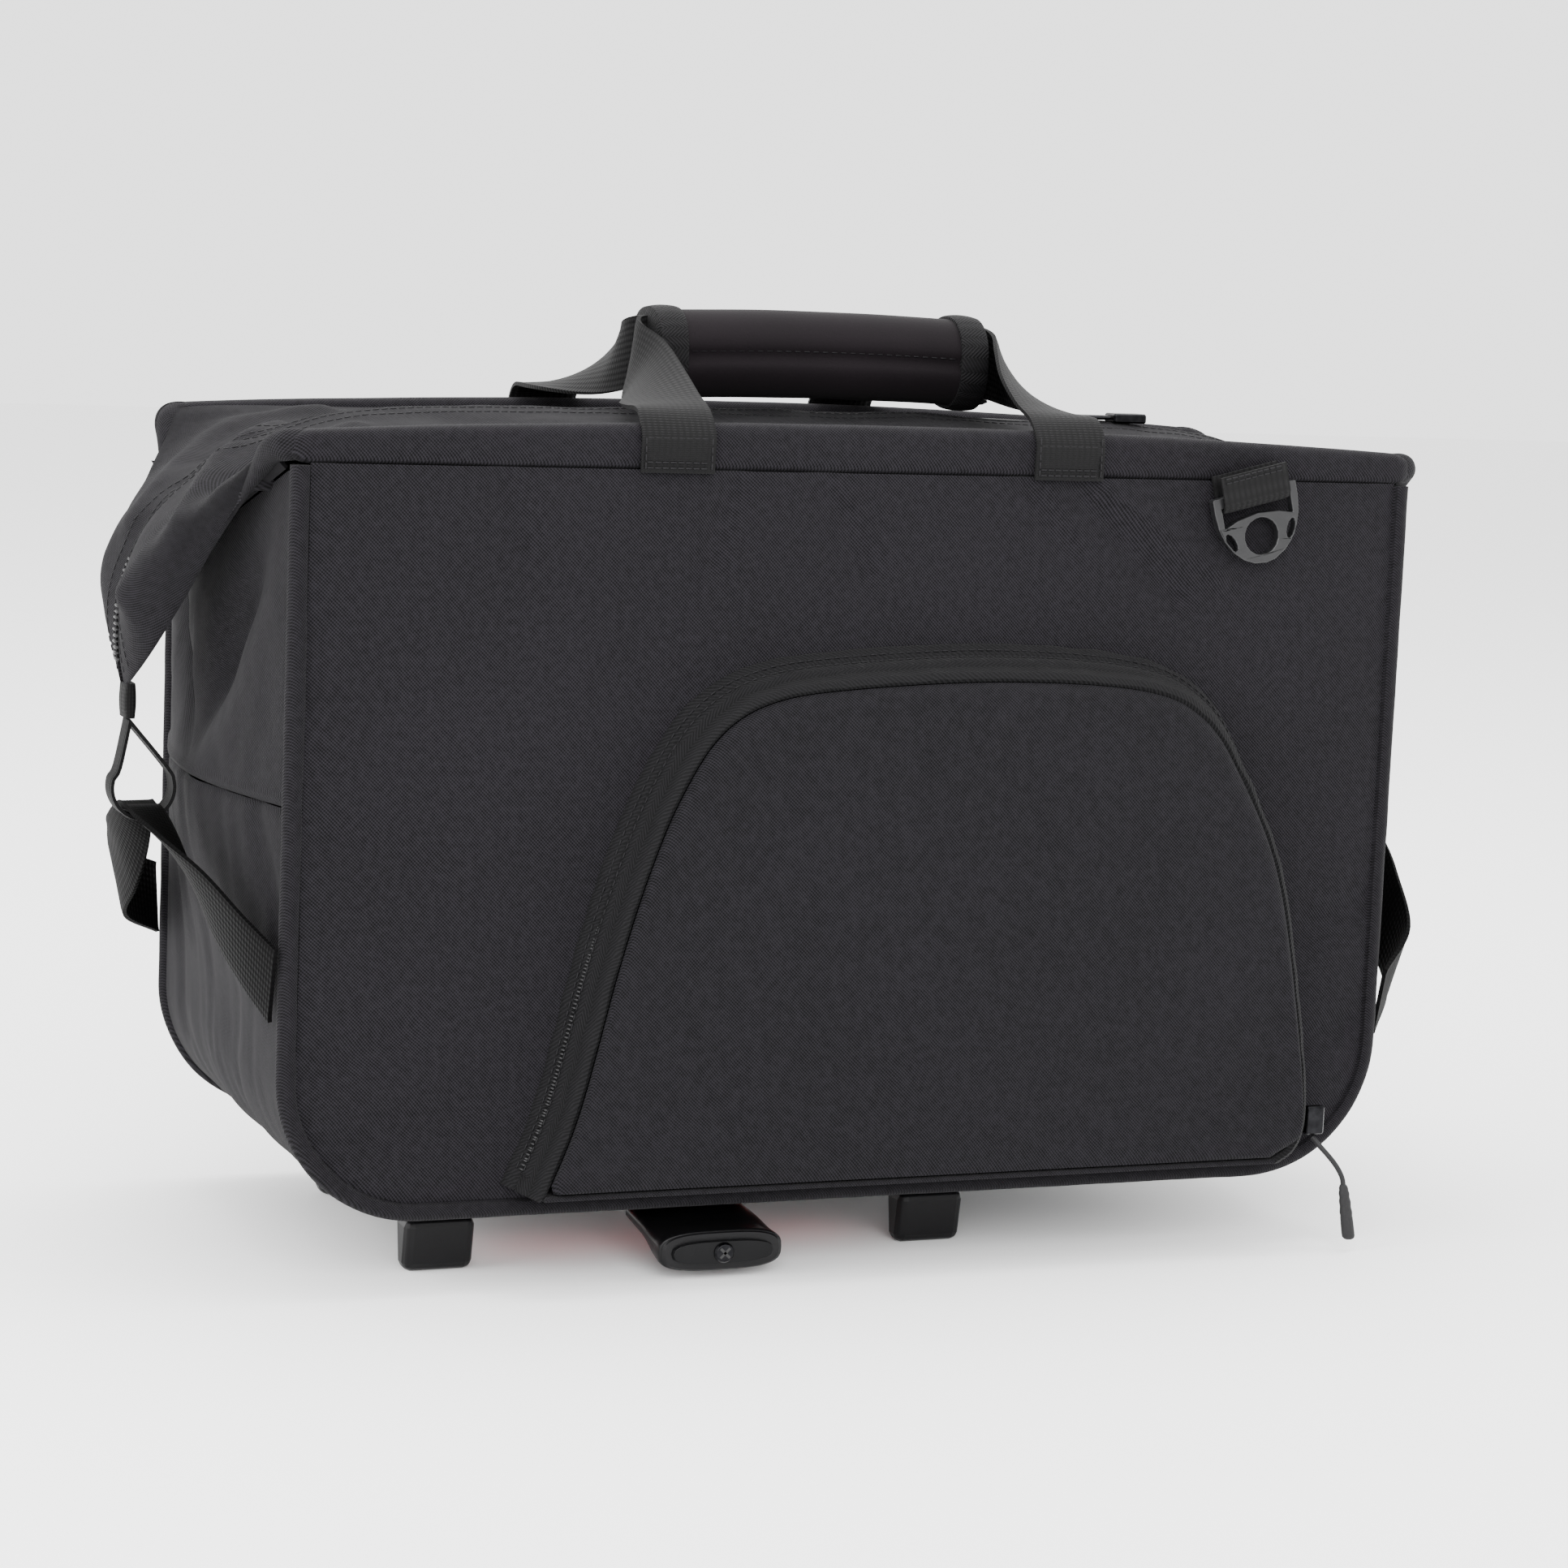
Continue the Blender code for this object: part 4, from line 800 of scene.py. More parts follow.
def sewn(name, lines, pitch=0.0030):
    """Rows of stitches; each line is a list of (spot, outward) along it."""
    seeds = []
    for line in lines:
        run = pitch / 2
        for (start, out), (stop, _) in zip(line, line[1:]):
            way = Vector(stop) - Vector(start)
            length = way.length
            while run < length:
                seeds.append((stitch, facing(Vector(start) + way * (run / length), way, out)))
                run += pitch
            run -= length
    gathered(name, seeds, thread_black)


def flap_row(side, depth, runs):
    """Points on a flap's face at one depth, with the way out of the cloth."""
    line = []
    for x_side, run in runs:
        spot = flap_point(side, x_side, depth, run)
        beside = flap_point(side, x_side, depth, min(1.0, run + 0.01))
        over = flap_point(side, x_side, min(1.0, depth + 0.02), run)
        out = (beside - spot).cross(over - spot).normalized()
        lead = Vector((x_side, 0.0, 0.4)) if run < 0.5 else Vector((0.0, 0.0, 1.0))
        if out.dot(lead) < 0:
            out = -out
        line.append((spot + out * 0.0001 + Vector((0.0, MID_DEPTH, 0.0)), out))
    return line


whole_top = [(-1, run / 60) for run in range(1, 60)] + [(1, 1 - run / 60) for run in range(60)]
top_lines = [flap_row(side, depth, whole_top) for side in (-1, 1) for depth in (0.030, 0.105)]
sewn("flap_stitches", top_lines)


# Webbing: 25 mm woven polyester straps with a fine ribbed face for the handle and the ring's tab,
# a duller copy for the side straps, painted darker as shade, and a finer one for the narrow loops.
def ribbed(name, dark, light, rib=0.0021, weft=0.0016, relief=0.00022, shine=0.10):
    finish = Finish(name, 0.66, sheen=0.15 * shine, shine=shine)
    along, across = finish.along()
    spot = finish.place()
    wander = finish.mottle(spot, 700.0)
    warp = finish.waves(across, rib, wander * 0.8)
    rows = finish.waves(along, weft, wander * 0.8)
    fuzz = finish.mottle(spot, 3000.0, 1.0)
    height = warp * 0.35 + rows * 0.25 + warp * rows * 0.15 + fuzz * 0.25
    return finish.close(finish.blend(height * 0.5 + 0.45, dark, light), height, relief)


webbing = ribbed("webbing", (0.0005, 0.0005, 0.0005), (0.0050, 0.0048, 0.0051))
# The side straps' webbing is the handle's webbing painted darker: painted shade.
side_webbing_painted_shade = ribbed("side_webbing_painted_shade", (0.0003, 0.0003, 0.0003), (0.0024, 0.0023, 0.0024),
                      shine=0.03)
narrow_webbing = ribbed("narrow_webbing", (0.0005, 0.0005, 0.0005), (0.0050, 0.0049, 0.0051),
                        0.0012, 0.0010, 0.00014, shine=0.06)


WEB_WIDTH = 0.025
WEB_WALL = 0.0014
THIN_WALL = 0.0011


def strap(name, rows, thickness, finish, columns, steps):
    """Webbing through rows of (x, y, z, width x, y, z, width), smoothed between them."""
    count = (len(rows) - 1) * steps
    length = sum((Vector(a[:3]) - Vector(b[:3])).length for a, b in zip(rows, rows[1:]))
    width = max(row[6] for row in rows)
    spots = []
    for step in range(count + 1):
        found = smooth(rows, step / count)
        spots.append((Vector(found[:3]), Vector(found[3:6]).normalized() * found[6]))

    def spot(u, v):
        i = min(count, max(0, round(v * count)))
        centre, across = spots[i]
        before, after = spots[max(i - 1, 0)][0], spots[min(i + 1, count)][0]
        out = across.cross(after - before).normalized()
        edge = 0.2 * thickness if abs(2 * u - 1) > 0.9 else 0.0
        return centre + across * (u - 0.5) + out * (thickness / 2 - edge)
    return cut_cloth(name, columns, count, (width, length), spot, finish, thickness, turned=False)


# Side straps: each runs from the front piping through the loop under the wing to the back piping.
# The loop pinches it, and one half of it hangs slack.
LOOP_X = 0.2235
TAB_LENGTH = 0.0102
loop_middle_z = ZIP_TOP - WING_DROP - TAB_LENGTH - 0.0223
strap_seat = loop_middle_z - math.sqrt(0.0099**2 - 0.006**2) + 0.00105
strap_shape = (
    # depth share, outward share, slack share, upward share, width direction x, y, z
    (1.00, 0.00, 0.00, 0.00, 0.00, -0.25, 0.97),
    (0.78, 0.24, 0.46, 0.20, 0.10, -0.38, 0.92),
    (0.50, 0.52, 0.36, 0.48, 0.30, -0.42, 0.86),
    (0.26, 0.79, 0.16, 0.78, 0.72, -0.28, 0.62),
    (0.10, 0.99, 0.01, 1.00, 1.00, 0.00, 0.03),
    (0.00, 1.00, 0.00, 1.00, 1.00, 0.00, 0.00),
)
for side, word, foot_z in ((-1, "left", 0.1025), (1, "right", 0.0850)):
    start = Vector((HALF_WIDTH + 0.0015, HALF_DEPTH - PIPING_IN, foot_z))
    halves = []
    for end, slack in ((-1, max(0, side)), (1, max(0, -side))):
        half = []
        for depth, out, more, up, wx, wy, wz in strap_shape:
            spread = clamp((depth - 0.1) / 0.4)
            half.append((side * (start.x + (LOOP_X - start.x) * (out + slack * more)),
                         MID_DEPTH + end * start.y * depth,
                         start.z + (strap_seat - start.z) * up, side * wx, -end * wy, wz,
                         0.012 + 0.013 * spread))
        halves.append(half)
    rows = halves[0] + list(reversed(halves[1][:-1]))
    stand_in(strap("side_strap_" + word + "_webbing", rows, WEB_WALL, side_webbing_painted_shade, 12, 8),
             "side_strap_" + word)


# Tab and loop at the end of the zip: a folded scrap of webbing closes the zip, and a narrow
# 10 mm webbing loop hangs from it.
TIP_X = HALF_WIDTH + WING_REACH - 0.0016
TIP_Z = ZIP_TOP - WING_DROP
LOOP_RADIUS = 0.0105
LOOP_WIDTH = 0.0098
for side, word in LEFT_RIGHT:
    def tab_spot(u, v, side=side):
        across, deep = squarish(0.0034 + 0.0008 * math.sin(math.pi * v), 0.012, u, 4.0)
        return Vector((side * (TIP_X + across), MID_DEPTH + deep, TIP_Z + 0.0020 - 0.0114 * v))

    stand_in(cut_cloth("zip_tab_" + word + "_webbing", 28, 14, (0.030, 0.0092), tab_spot,
                       narrow_webbing, closed=True), "zip_tab_" + word)
    rows = [(side * TIP_X, MID_DEPTH, TIP_Z - TAB_LENGTH, 0.0, 1.0, 0.0, LOOP_WIDTH)]
    for step in range(11):
        angle = math.radians(40 - 26 * step)
        rows.append((side * (LOOP_X + LOOP_RADIUS * math.cos(angle)), MID_DEPTH,
                     loop_middle_z + LOOP_RADIUS * math.sin(angle), 0.0, 1.0, 0.0, LOOP_WIDTH))
    rows.append(rows[0])
    stand_in(strap("wing_loop_" + word + "_webbing", rows, THIN_WALL, narrow_webbing, 6, 4),
             "wing_loop_" + word)


# Handle: two straps of the same webbing are sewn flat over the rims, turn on edge and run
# through a padded wrap, so the grip stands over the middle of the bag.
GRIP_X = 0.0075
GRIP_Z = 0.3015
GRIP_LENGTH = 0.121
GRIP_THICK = 0.0300
BINDING_THICK = 0.0330
BINDING_LENGTH = 0.0104
handle_shape = (
    # x share, depth share, height share, width direction x, z
    (0.00, 0.09, 0.86, 0.20, 0.98),
    (0.08, 0.25, 0.66, 0.56, 0.83),
    (0.50, 0.50, 0.40, 0.86, 0.51),
    (0.86, 0.76, 0.16, 0.98, 0.18),
    (1.00, 0.93, 0.00, 1.00, 0.00),
)
FOOT_FACE = RIM_FACE + 0.0003 + 0.00075
strap_feet = []
for side, word, spread in ((-1, "front", 0.138), (1, "back", 0.116)):
    halves = []
    for end in (-1, 1):
        grip_x = GRIP_X + end * GRIP_LENGTH / 2
        turn_x = grip_x + end * 0.0075
        foot_x = -0.003 + end * spread / 2
        shoulder = RIM_BASE + RIM_HEIGHT + rim_arch(foot_x)
        crest = shoulder + 0.004
        half = [(grip_x - end * inwards, side * WEB_WALL, GRIP_Z, 0.0, 0.0, 1.0, width)
                for inwards, width in ((0.030, 0.0245), (0.0075, 0.0245), (-0.0025, 0.0247))]
        for along, depth, up, wx, wz in handle_shape:
            half.append((turn_x + (foot_x - turn_x) * along, side * FOOT_FACE * depth,
                         crest + (GRIP_Z - crest) * up, -end * wx, 0.0, wz, WEB_WIDTH))
        for z in (shoulder - 0.003, RIM_BASE + RIM_HEIGHT / 2, RIM_BASE - 0.0004):
            half.append((foot_x, side * FOOT_FACE, z, -end, 0.0, 0.0, WEB_WIDTH))
        halves.append([(x, y + MID_DEPTH, *rest) for x, y, *rest in half])
        strap_feet.append((side, foot_x, shoulder))
    rows = list(reversed(halves[0])) + halves[1]
    stand_in(strap("handle_strap_" + word + "_webbing", rows, WEB_WALL, webbing, 12, 7),
             "handle_strap_" + word)

foot_lines = []
for side, foot_x, shoulder in strap_feet:
    y = MID_DEPTH + side * (FOOT_FACE + 0.0009)
    out = (0.0, side, 0.0)
    for x in (foot_x - 0.0112, foot_x + 0.0112):
        foot_lines.append([((x, y, RIM_BASE + 0.0006), out), ((x, y, shoulder - 0.003), out)])
    for z in (RIM_BASE + 0.0012, RIM_BASE + 0.0030, shoulder - 0.0045):
        foot_lines.append([((foot_x - 0.011, y, z), out), ((foot_x + 0.011, y, z), out)])
sewn("handle_stitches", foot_lines, 0.0026)


# Grip: thin foam in a smooth knitted cover, wrapped round both straps and closed by a stitched
# seam along its front. A bias tape with a herringbone weave binds each end.
knit = Finish("grip_knit", 0.78, sheen=0.02, shine=0.08)
knit_spot = knit.place()
knit_grain = knit.mottle(knit_spot, 1900.0, 2.0)
knit_patch = knit.mottle(knit_spot, 30.0, 2.0)
grip_knit = knit.close(knit.blend(knit_grain * 0.4 + knit_patch * 0.5, (0.0014, 0.0009, 0.0012),
                                  (0.0076, 0.0052, 0.0068)), knit_grain, 0.00008)


def grip_axis(x):
    share = (x - GRIP_X) / (GRIP_LENGTH / 2)
    return GRIP_Z + 0.0015 * (0.5 - share * share)


def grip_spot(u, v):
    x = GRIP_X + GRIP_LENGTH * 0.996 * (v - 0.5)
    deep, up = squarish(GRIP_THICK, GRIP_THICK, u, 2.4)
    ends = min(1.0, min(v, 1 - v) / 0.07)
    slim = 0.93 + 0.07 * ends
    ripple = waver(x * 30, deep * 60, up * 60)
    plain = slim * (1 + 0.018 * ripple)
    size = plain
    if deep < 0:
        bulge = bell(up - 0.0052, 0.0030) + bell(up + 0.0060, 0.0030)
        size += 0.018 * bulge - 0.105 * bell(up + 0.0004, 0.0019)
    return Vector((x, MID_DEPTH + deep * size, grip_axis(x) + up * plain))


grip = cut_cloth("handle_grip_cover", 96, 110, (0.10, GRIP_LENGTH), grip_spot, grip_knit,
                 closed=True)
stand_in(grip, "handle_grip")
seam_line = []
for step in range(41):
    x = GRIP_X + GRIP_LENGTH * (step / 40 - 0.5) * 0.82
    seam_line.append(((x, MID_DEPTH - 0.01425, grip_axis(x) + 0.0014), (0.0, -1.0, 0.0)))
sewn("grip_stitches", [seam_line], 0.0034)


def herringbone(name, dark, light, stripe=0.0036, pitch=0.0014):
    """Tape whose slanting ribs change direction from stripe to stripe."""
    finish = Finish(name, 0.7, sheen=0.02, shine=0.09)
    along, across = finish.along()
    spot = finish.place()
    wander = finish.mottle(spot, 800.0)
    ribs = finish.waves(along + across.fold(stripe) * 1.1, pitch, wander * 1.2)
    valley = across.fold(stripe / 2) / (stripe / 2)
    height = ribs * 0.45 + valley * 0.35 + finish.mottle(spot, 1200.0, 1.0) * 0.4
    return finish.close(finish.blend(height * 0.8 + 0.15, dark, light), height, 0.00018)


herringbone_tape = herringbone("herringbone_tape", (0.0005, 0.0005, 0.0006),
                               (0.0056, 0.0051, 0.0058))
for side, word in LEFT_RIGHT:
    def binding_spot(u, v, side=side):
        edge = GRIP_X + side * GRIP_LENGTH / 2
        x = edge + side * 0.0004 - side * BINDING_LENGTH * v
        deep, up = squarish(BINDING_THICK, BINDING_THICK, u, 2.4)
        puff = 0.965 + 0.045 * math.sin(math.pi * min(1.0, v * 1.02)) ** 0.5
        if v < 0.001:
            puff = 0.86
        ripple = waver(x * 90, deep * 90, up * 90)
        size = puff * (1 + 0.022 * ripple)
        return Vector((x, MID_DEPTH + deep * size, grip_axis(x) + up * size))

    binding = cut_cloth("grip_binding_" + word + "_tape", 72, 16, (0.104, BINDING_LENGTH),
                        binding_spot, herringbone_tape, closed=True)
    stand_in(binding, "grip_binding_" + word)


# Ring tab and ring: a doubled scrap of webbing sewn under the rim holds a moulded ring with a
# strap slot, a round eye and two slim side slots. Its edges are rounded in the mould.
def moulded_node(node, finish, radius, segments=2):
    """A hard CAD node with its loose triangles joined, its edges rounded and its own finish."""
    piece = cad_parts[node]
    for slot in piece.material_slots:
        slot.material = finish
    join = piece.modifiers.new("join", "WELD")
    join.merge_threshold = 0.00002
    rounded = piece.modifiers.new("rounded", "BEVEL")
    rounded.width = radius
    rounded.segments = segments
    rounded.limit_method = "ANGLE"
    rounded.angle_limit = math.radians(30.0)
    rounded.harden_normals = True


ring_gloss = speckled("ring_gloss", (0.0040, 0.0040, 0.0043), (0.0120, 0.0120, 0.0128),
                      (160.0, 3.0), 0.24, 0.16, (900.0, 2.0), shine=0.35)
moulded_node("strap_ring", ring_gloss, 0.0007, 3)

RING_X, RING_Y, RING_Z = 0.1335, -0.085354, 0.2625
ring_lean = math.radians(-14.0)
TAB_TOP = 0.0088
tab_rows = []
tab_reach = 0.0034 / math.sqrt(2) + 0.0003 + 0.0006
tab_path = [(tab_reach, TAB_TOP)]
for step in range(9):
    angle = -math.pi * step / 8
    tab_path.append((tab_reach * math.cos(angle), tab_reach * math.sin(angle)))
tab_path.append((-tab_reach, TAB_TOP))
for y, z in tab_path:
    tab_rows.append((RING_X + z * math.sin(ring_lean), RING_Y + y, RING_Z + z * math.cos(ring_lean),
                     math.cos(ring_lean), 0.0, -math.sin(ring_lean), WEB_WIDTH))
stand_in(strap("ring_tab_webbing", tab_rows, THIN_WALL, webbing, 12, 3), "ring_tab")
tab_lines = []
for z in (0.0066, 0.0080):
    line = []
    for along in (-0.0112, 0.0112):
        line.append(((RING_X + along * math.cos(ring_lean) + z * math.sin(ring_lean),
                      RING_Y - tab_reach - 0.0007,
                      RING_Z - along * math.sin(ring_lean) + z * math.cos(ring_lean)),
                     (0.0, -1.0, 0.0)))
    tab_lines.append(line)
sewn("ring_tab_stitches", tab_lines, 0.0024)


# Front pocket: a padded face with an arched top, a sloped band of herringbone tape round it that
# carries the zip, and a foot sewn shut just above the piping.
POCKET_LEFT = -0.1135
POCKET_FOOT = PANEL_BOTTOM + 0.0080
POCKET_WIDTH = 0.276
POCKET_HEIGHT = 0.1685
BAND_FLARE = 0.0110
ARCH_STEPS = 600
pocket_rows = (
    # along, up, flare
    (0.000, 0.000, 1.00),
    (0.040, 0.170, 1.00),
    (0.083, 0.450, 1.00),
    (0.118, 0.640, 1.00),
    (0.153, 0.780, 1.00),
    (0.198, 0.895, 1.00),
    (0.260, 0.958, 1.00),
    (0.360, 0.985, 1.00),
    (0.560, 1.000, 1.00),
    (0.745, 0.982, 0.90),
    (0.830, 0.925, 0.80),
    (0.885, 0.810, 0.62),
    (0.945, 0.610, 0.46),
    (0.982, 0.330, 0.30),
    (1.000, 0.110, 0.18),
    (0.988, 0.032, 0.10),
    (0.962, 0.000, 0.00),
)
pocket_arch = [(POCKET_LEFT + POCKET_WIDTH * along, POCKET_FOOT + POCKET_HEIGHT * up, flare)
               for along, up, flare in pocket_rows]
arch_samples = [smooth(pocket_arch, step / ARCH_STEPS) for step in range(ARCH_STEPS + 1)]
arch_lengths = [0.0]
for low, high in zip(arch_samples, arch_samples[1:]):
    arch_lengths.append(arch_lengths[-1] + (high.xy - low.xy).length)


def arch_point(share, grow, back=0.0):
    """(x, z) on the pocket's arch at a share of its length, grown outwards; the band flares to
    back, a share of the way from the face to the panel."""
    goal = share * arch_lengths[-1]
    i = min(range(ARCH_STEPS + 1), key=lambda k: abs(arch_lengths[k] - goal))
    low, high = arch_samples[max(i - 2, 0)], arch_samples[min(i + 2, ARCH_STEPS)]
    way = high - low
    out = Vector((-way.y, way.x)).normalized()
    spot = arch_samples[i].xy + out * (grow + BAND_FLARE * back * arch_samples[i].z)
    return Vector((spot.x, max(spot.y, POCKET_FOOT - min(0.0, grow)))), out


FACE_Y = -(HALF_DEPTH + 0.014)
BASE_Y = -(HALF_DEPTH - 0.0015 + 0.0003)


def pocket_y(back):
    return MID_DEPTH + FACE_Y + (BASE_Y - FACE_Y) * back


pocket_creases = (
    ((-0.085, 0.050), (-0.050, 0.075), 0.0060, 0.0006),
    ((0.120, 0.050), (0.148, 0.075), 0.0070, 0.0005),
    ((-0.070, 0.036), (-0.020, 0.050), 0.0070, 0.0005),
    ((0.060, 0.036), (0.090, 0.056), 0.0060, 0.0004),
    ((-0.020, 0.192), (-0.034, 0.165), 0.0080, 0.0004),
)


def pocket_face_spot(u, v):
    """The face is laid out from its foot to its arch: v runs up and u along."""
    x_low = POCKET_LEFT + 0.0040 + 0.2600 * u
    share = 0.012 + 0.968 * u
    top, _ = arch_point(share, -0.0010)
    foot_z = POCKET_FOOT + 0.0028
    spot = Vector((x_low, foot_z)).lerp(top, v)
    edge = min(0.6 * v + 0.01, 1 - v, 3 * u, 3 * (1 - u))
    away = clamp(edge / 0.055)
    swell = 0.0026 * math.sqrt(1 - (1 - away) ** 2)
    wave = 0.0009 * waver(spot.x * 12, spot.y * 14, 4.0)
    wave += 0.0003 * waver(spot.x * 40, spot.y * 44, 9.0)
    dent = dented(spot.x, spot.y, pocket_creases)
    return Vector((spot.x, MID_DEPTH + FACE_Y + 0.0016 - swell + (dent - wave) * away, spot.y))


# The pocket face's darker twill is painted shade.
pocket_face = cut_cloth("pocket_face_cloth", 160, 100, (POCKET_WIDTH, POCKET_HEIGHT),
                        pocket_face_spot, pocket_twill_painted_shade, 0.0022)
stand_in(pocket_face, "pocket_face")

band_section = (
    # round the tape: share of its run, share of the way back, outwards
    (0.00, 0.12, -0.0021),
    (0.03, 0.07, -0.0004),
    (0.09, 0.14, 0.0008),
    (0.30, 0.42, 0.0004),
    (0.44, 0.62, -0.0002),
    (0.48, 0.68, -0.0009),
    (0.52, 0.74, -0.0001),
    (0.62, 0.90, 0.0003),
    (0.68, 1.00, -0.0004),
    (0.71, 1.00, -0.0021),
    (1.00, 0.12, -0.0021),
)


def band_spot(u, v):
    i, part = row_at(band_section, u)
    back, grow = (a + (b - a) * part for a, b in zip(band_section[i][1:], band_section[i + 1][1:]))
    spot, out = arch_point(v, grow, back)
    pucker = 0.0005 * waver(v * 60, back * 3, 2.0) if grow > -0.002 else 0.0
    return Vector((spot.x + out.x * pucker, pocket_y(back), spot.y + out.y * pucker))


band_tape = herringbone("band_tape", (0.0004, 0.0004, 0.0005), (0.0056, 0.0053, 0.0060), 0.0064,
                        0.0015)
stand_in(cut_cloth("pocket_band_tape", 66, 420, (0.029, 0.52), band_spot, band_tape, closed=True),
         "pocket_band")


def foot_strip_spot(u, v):
    deep, up = squarish(0.0150, 0.0020, u, 4.0)
    x = -0.1125 + 0.2640 * v
    return Vector((x, MID_DEPTH + (FACE_Y + BASE_Y) / 2 + deep, POCKET_FOOT + 0.0011 + up))


foot_strip = cut_cloth("pocket_foot_strip", 24, 120, (0.034, 0.264), foot_strip_spot, piping_twill,
                       closed=True)


ZIP_BACK = 0.68


def pocket_zip_place(share, lift, shift=0.0):
    back = ZIP_BACK + shift
    spot, out = arch_point(share, -0.0002, back)
    outward = Vector((out.x * 0.80, -0.60, out.y * 0.80)).normalized()
    return Vector((spot.x, pocket_y(back), spot.y)) + outward * lift, outward


def pocket_tape_spot(u, v):
    share = 0.010 + 0.978 * v
    spot, outward = pocket_zip_place(share, -0.0003, -0.16 + 0.30 * (u - 0.5))
    return spot + outward * 0.0008 * math.sin(math.pi * u)


stand_in(cut_cloth("pocket_zip_tape", 8, 400, (0.0056, 0.52), pocket_tape_spot, band_tape, 0.0003),
         "pocket_zip")
coil_link = small_block("coil_link", (0.0007, 0.0018, 0.0009), 0.0002)
links = []
LINK_PITCH = 0.00125
count = int(arch_lengths[-1] * 0.97 / LINK_PITCH)
for step in range(count):
    share = 0.014 + 0.970 * step / count
    sunk = 0.0011 * clamp((share - 0.13) / 0.05)
    spot, outward = pocket_zip_place(share, 0.0001 - sunk)
    ahead, _ = pocket_zip_place(min(1.0, share + 0.004), 0.0007)
    behind, _ = pocket_zip_place(max(0.0, share - 0.004), 0.0007)
    links.append((coil_link, facing(spot, ahead - behind, outward)))
gathered("pocket_zip_teeth", links, zip_nylon)

band_lines = []
for back in (ZIP_BACK - 0.08, ZIP_BACK + 0.08):
    line = []
    for step in range(261):
        spot, out = arch_point(0.012 + 0.974 * step / 260, 0.0003, back)
        line.append(((spot.x, pocket_y(back), spot.y), (out.x, -0.5, out.y)))
    band_lines.append(line)
sewn("pocket_band_stitches", band_lines, 0.0032)


# Sliders: dark plated metal. The pocket's slider sits at the foot of its zip and holds a thin
# cord with a moulded pull; the top slider lies on its coil.
plated_metal = speckled("plated_metal", (0.003, 0.003, 0.0033), (0.022, 0.022, 0.024),
                        (420.0, 3.0), 0.22, 0.25, relief=0.00003, metallic=1.0)
for node in ("main_slider", "main_pull", "pocket_slider", "release_screw"):
    moulded_node(node, plated_metal, 0.00025)


# Puller cord and pull: a 1.8 mm cord leaves the slider's eye, hangs past the corner piping and
# runs on inside the soft moulded pull, where it is knotted.
soft_pull = speckled("soft_pull", (0.0036, 0.0035, 0.0038), (0.0130, 0.0126, 0.0134),
                     (2000.0, 2.0), 0.55, relief=0.00006, shine=0.2)
CORD_THICK = 0.0018
cord_route = []
for inwards, forward, up in (
        (0.0285, 0.0080, 0.0157), (0.0266, 0.0104, 0.0129), (0.0241, 0.0120, 0.0099),
        (0.0216, 0.0127, 0.0069), (0.0195, 0.0128, 0.0039), (0.0183, 0.0128, 0.0015),
        (0.0179, 0.0128, -0.0003)):
    cord_route.append((HALF_WIDTH - inwards, MID_DEPTH - HALF_DEPTH - forward, PANEL_BOTTOM + up))
cord_points = [smooth(cord_route, step / 18) for step in range(19)]
pull_way = (cord_points[-1] - cord_points[-2]).normalized()
pull_top = cord_points[-1] + pull_way * 0.0003
cord_points += [cord_points[-1] + pull_way * 0.0012 * step for step in range(1, 9)]
cord_length = sum((b - a).length for a, b in zip(cord_points, cord_points[1:]))
puller_curve = bpy.data.curves.new("puller_cord_line", "CURVE")
puller_curve.dimensions = "3D"
puller_curve.bevel_depth = CORD_THICK / 2
puller_curve.bevel_resolution = 4
puller_curve.use_fill_caps = True
line = puller_curve.splines.new("POLY")
line.points.add(len(cord_points) - 1)
for point, spot in zip(line.points, cord_points):
    point.co = (*spot, 1.0)
puller_curve.materials.append(soft_pull)
puller_cord = bpy.data.objects.new("puller_cord_line", puller_curve)
bpy.context.scene.collection.objects.link(puller_cord)


PULL_LENGTH = 0.020
pull_rows = (
    # along, thickness
    (0.00, 0.50), (0.08, 0.72), (0.30, 0.86), (0.60, 0.96), (0.90, 1.00), (0.97, 0.86),
    (1.00, 0.50),
)


def pull_grip_spot(u, v):
    along, thick = smooth(pull_rows, v)
    if 0.15 < v < 0.5:
        thick *= 1 + 0.05 * math.sin(v * 60)
    across, deep = squarish(0.0048 * thick, 0.0030 * thick, u, 2.4)
    return pull_top + pull_way * PULL_LENGTH * along + Vector((across, deep, 0.0))


pull_grip = cut_cloth("puller_grip_moulding", 24, 60, (0.012, PULL_LENGTH), pull_grip_spot,
                      soft_pull, closed=True)
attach(puller_cord, "bag")
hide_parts("puller_grip")
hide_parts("puller_cord")
tuple(cord_points[0])


# Rack adapter: a moulded plate under the bag with four feet, and a pull handle with an oval end
# cap and a cross-head screw that draws the red lock plate forward.
moulded_black = speckled("moulded_black", (0.0018, 0.0017, 0.0020), (0.0048, 0.0046, 0.0051),
                         (40.0, 3.0), 0.30, 0.18, (1500.0, 2.0), 0.00006, shine=0.16)
moulded_node("adapter_plate", moulded_black, 0.0006)
for _, word in FRONT_BACK:
    for _, x_word in LEFT_RIGHT:
        moulded_node("foot_" + word + "_" + x_word, moulded_black, 0.0008)

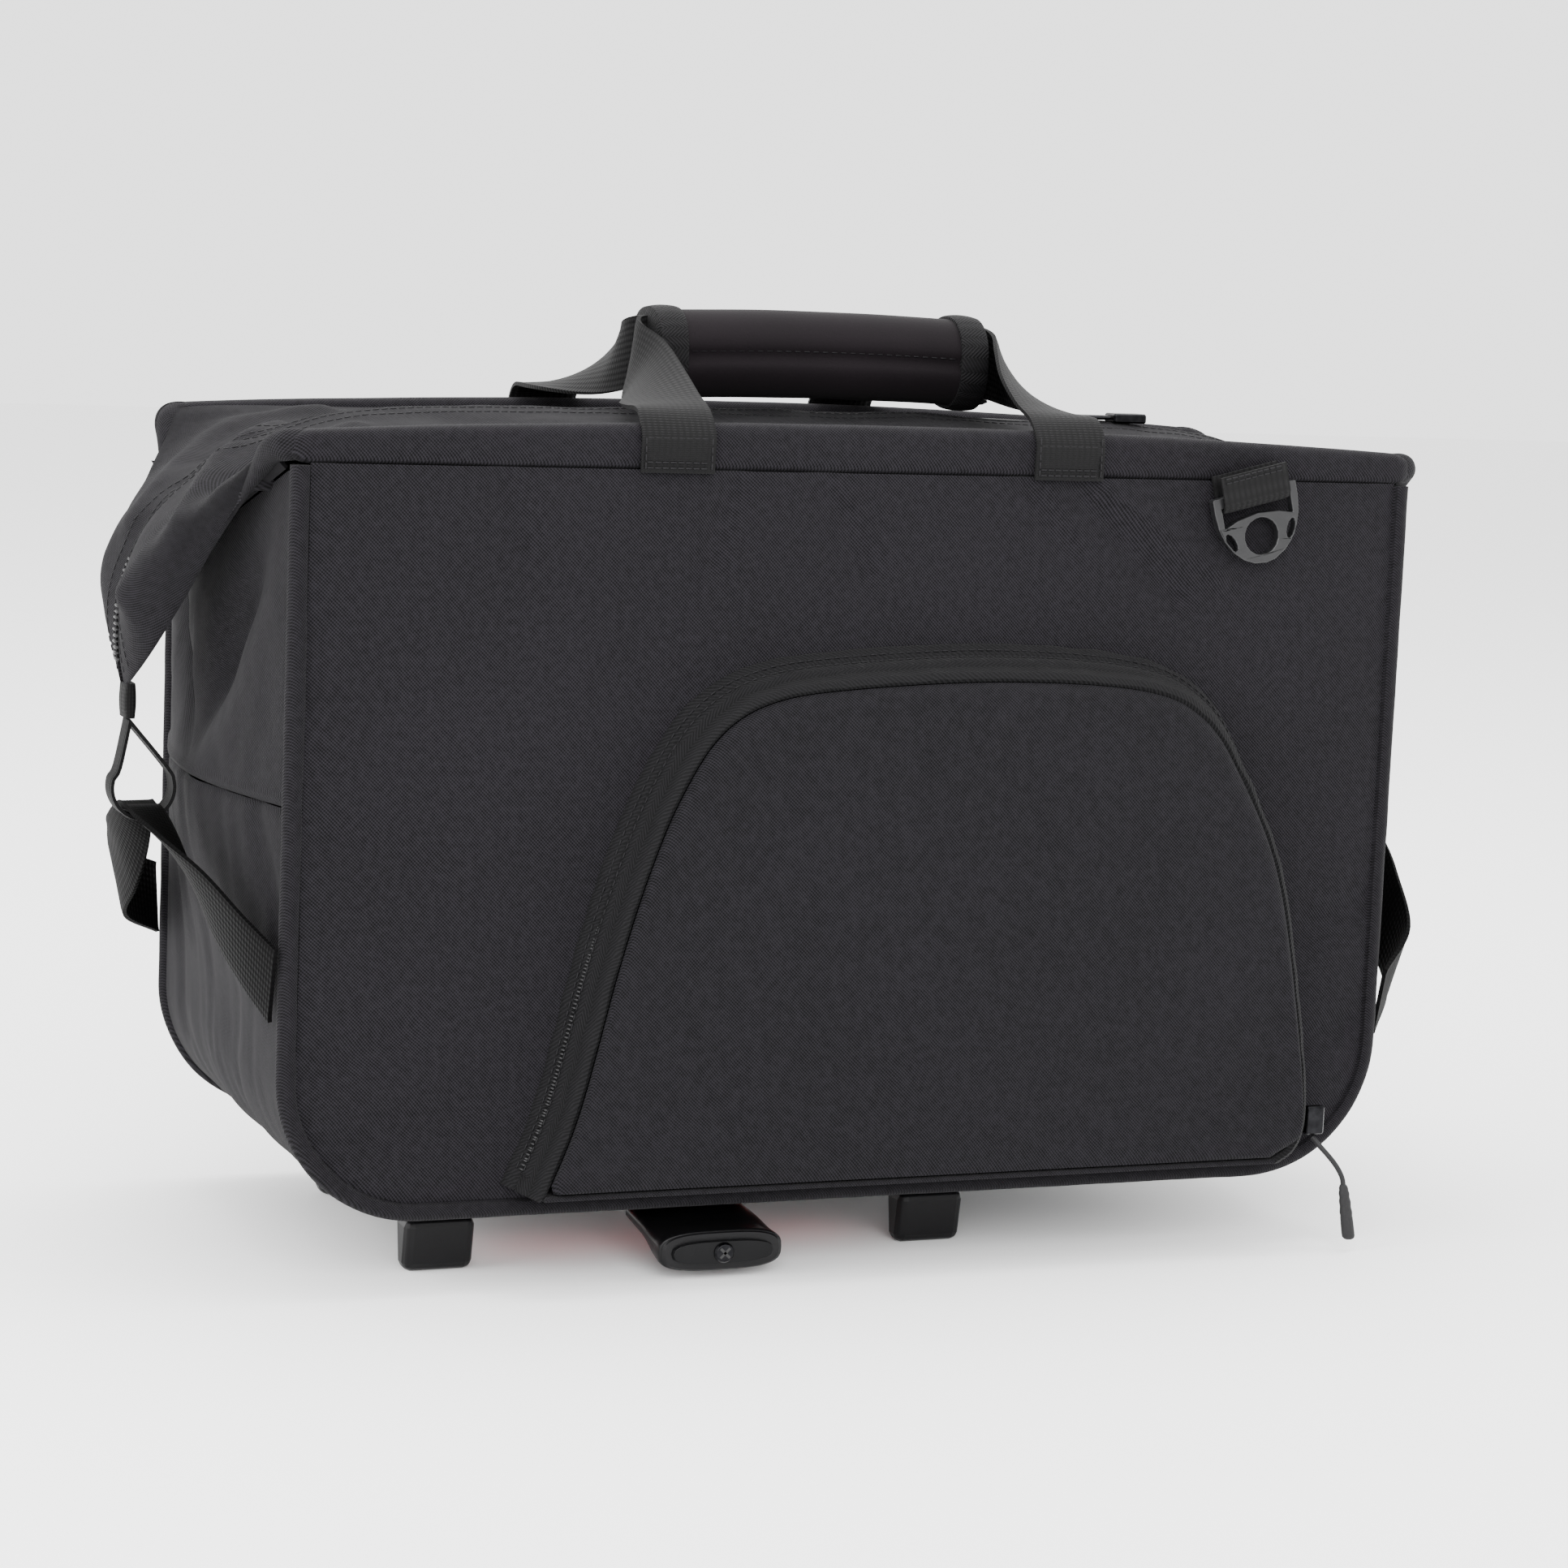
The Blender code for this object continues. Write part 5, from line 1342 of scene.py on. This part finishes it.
handle_rows = (
    # back, width, height, rise
    (0.00, 0.93, 0.90, 0.00),
    (0.05, 1.00, 1.00, 0.00),
    (0.22, 0.99, 0.90, 0.25),
    (0.50, 0.97, 0.66, 0.72),
    (1.00, 0.95, 0.54, 1.00),
)
ADAPTER_X = -0.046
PULL_TOP = PANEL_BOTTOM + 0.002 - 0.0003 - 0.0075 - 0.0003
RELEASE_MIDDLE = 0.0098
RELEASE_WIDTH = 0.0435
RELEASE_HEIGHT = 0.0135
RELEASE_LENGTH = 0.038


def release_spot(u, v):
    back, wide, tall, rise = smooth(handle_rows, v)
    height = RELEASE_HEIGHT * tall
    middle = RELEASE_MIDDLE + (PULL_TOP - height / 2 - RELEASE_MIDDLE) * rise
    across, up = squarish(RELEASE_WIDTH * wide, height, u, 3.2)
    size = 1 - bell(v - 0.16, 0.02) / 15
    return Vector((ADAPTER_X + across * size, MID_DEPTH - HALF_DEPTH + RELEASE_LENGTH * back,
                   middle + up * size))


release = cut_cloth("release_handle_moulding", 48, 60, (0.10, RELEASE_LENGTH), release_spot,
                    moulded_black, closed=True, body="release")
stand_in(release, "release_handle")
cap_smooth = speckled("cap_smooth", (0.0022, 0.0022, 0.0024), (0.0056, 0.0056, 0.0060),
                      (60.0, 2.0), 0.2, 0.12, shine=0.10)
moulded_node("release_cap", cap_smooth, 0.0004, 3)
CAP_FACE = MID_DEPTH - HALF_DEPTH - 0.0003 - 0.0016 - 0.0003 - 0.0010
# A black cross laid on the cap's face stands in for the shade inside the screw's cross recess:
# painted shade.
bm = bmesh.new()
for turn_by in (math.pi / 4, -math.pi / 4):
    made = bmesh.ops.create_cube(bm, size=1.0)["verts"]
    bmesh.ops.scale(bm, vec=(0.0046, 0.00018, 0.0009), verts=made)
    bmesh.ops.rotate(bm, verts=made, matrix=Matrix.Rotation(turn_by, 3, "Y"))
    bmesh.ops.translate(bm, verts=made, vec=(ADAPTER_X, CAP_FACE + 0.00002, RELEASE_MIDDLE))
recess_painted_shade = Finish("recess_painted_shade", 0.7).close((0.004, 0.004, 0.004))
finished("release_screw_painted_shade", bm, recess_painted_shade, "release")

lock_red = speckled("lock_red", (0.36, 0.006, 0.012), (0.50, 0.012, 0.022), (70.0, 2.0), 0.30,
                    0.12, (1400.0, 1.0), 0.00004)
moulded_node("lock_slide", lock_red, 0.0003)
